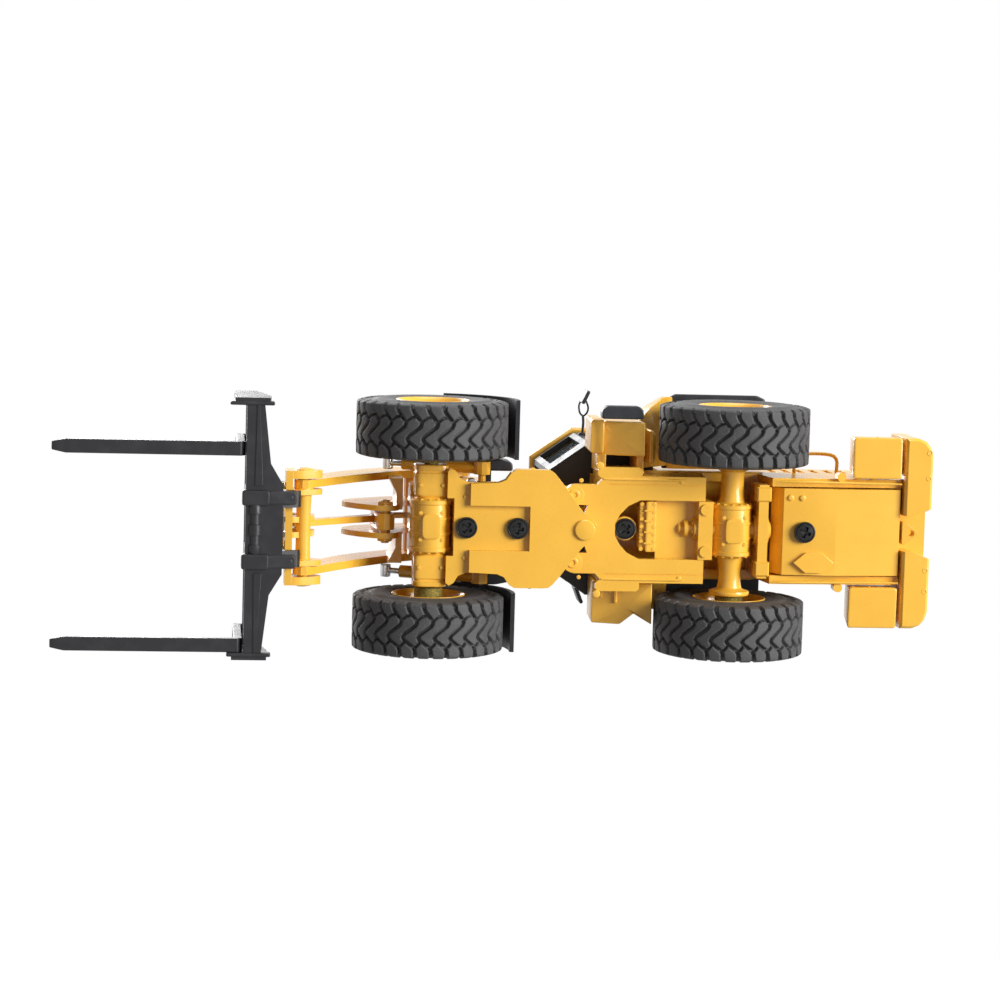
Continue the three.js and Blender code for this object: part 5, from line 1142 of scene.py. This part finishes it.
# %% [markdown]
# Two plain white planes make the studio: the floor that the wheels stand on, seen only from
# above, and below it a table, upright beside the loader's right side, as in the photograph. The
# table stands far enough off for the front half to steer without going through it. A plane seen
# from behind turns transparent, so the floor never hides the underside.


# %% The floor and the table
def stage_finish(name, glow):
    """White, see-through from behind, with a little light of its own so it stays pale."""
    finish = Finish(name)
    paper = finish.mixed(finish.noise(0.4, 2.0), (0.93, 0.93, 0.93, 1), (0.9, 0.9, 0.9, 1))
    finish.set(Base_Color=paper, Roughness=0.9)
    finish.set(Specular_IOR_Level=0.0, Emission_Color=(1, 1, 1, 1), Emission_Strength=glow)
    behind = finish.node("ShaderNodeNewGeometry", output="Backfacing")
    clear = finish.node("ShaderNodeBsdfTransparent")
    mix = finish.tree.nodes.new("ShaderNodeMixShader")
    plug(finish.tree, mix.inputs[0], behind)
    finish.tree.links.new(finish.shader.outputs[0], mix.inputs[1])
    finish.tree.links.new(clear.socket, mix.inputs[2])
    finish.tree.links.new(mix.outputs[0], finish.tree.nodes["Material Output"].inputs[0])
    return finish.material


def stage_plane(name, corners, finish):
    """One four-cornered plane that only camera rays see."""
    mesh = bpy.data.meshes.new(name)
    mesh.from_pydata(corners, [], [(0, 1, 2, 3)])
    plane = bpy.data.objects.new(name, mesh)
    mesh.materials.append(finish)
    bpy.context.scene.collection.objects.link(plane)
    plane.visible_diffuse = False
    plane.visible_glossy = False
    plane.visible_transmission = False
    plane.visible_shadow = False
    return plane


REACH = 3.0
STEER_ROOM = 70 * MM
TABLE_SIDE = cad_low[0] - STEER_ROOM
TABLE_TOP, TABLE_FOOT = -0.1 * MM, -0.5
white_stage = stage_finish("studio_white", 0.47)
floor_corners = [(-REACH, -REACH, 0), (REACH, -REACH, 0), (REACH, REACH, 0), (-REACH, REACH, 0)]
stage_plane("studio_floor", floor_corners, white_stage)
table_corners = [(-REACH, TABLE_FOOT), (REACH, TABLE_FOOT), (REACH, TABLE_TOP), (-REACH, TABLE_TOP)]
stage_plane("studio_table", [(TABLE_SIDE, y, z) for y, z in table_corners], white_stage)

# %% [markdown]
# Soft light: a wide panel below and behind the loader rakes over its underside, which is what
# the photograph shows, so that every rib casts a soft shadow towards the fork. Another from the
# loader's left gives the enamel its long highlights, and one overhead lights the loader when it
# is seen standing. The world fills the shadows and shows as plain white.


# %% Lamps and world
def panel(name, place, target, size, power):
    """A square area lamp at place that faces target."""
    data = bpy.data.lights.new(name, "AREA")
    data.size = size
    data.energy = power
    lamp = bpy.data.objects.new(name, data)
    aim = unit(np.array(place) - np.array(target))
    lamp.matrix_world = Matrix.Translation(place) @ camera_turn(aim)
    bpy.context.scene.collection.objects.link(lamp)
    return lamp


def camera_turn(aim):
    """A turn whose local Z is aim."""
    across = unit(np.cross([0.0, 1.0, 0.0], aim))
    along = np.cross(aim, across)
    return Matrix([list(across), list(along), list(aim)]).transposed().to_4x4()


MIDDLE = (0.0, 0.0, 0.03)
panel("underside_panel", (0.4, 1.36, -1.03), MIDDLE, 0.9, 50.0)
panel("left_panel", (0.75, 0.05, 0.05), MIDDLE, 0.5, 3.6)
panel("overhead_panel", (0.3, -0.35, 0.9), MIDDLE, 0.6, 10.0)

world = bpy.data.worlds.new("studio")
world.use_nodes = True
bpy.context.scene.world = world
tree = world.node_tree
rays = tree.nodes.new("ShaderNodeLightPath")
camera_ray, glossy_ray, clear_ray = (
    Pattern(tree, rays.outputs[f"Is {kind} Ray"]) for kind in ("Camera", "Glossy", "Transmission")
)
mirrored_ray = glossy_ray.maths("MAXIMUM", glossy_ray, clear_ray)
seen = camera_ray.maths("MAXIMUM", camera_ray, mirrored_ray)
FILL = 0.2
background = tree.nodes["Background"]
background.inputs["Color"].default_value = (1, 1, 1, 1)
plug(tree, background.inputs["Strength"], seen * (1 - FILL) + FILL)
bpy.context.scene.view_settings.view_transform = "Standard"
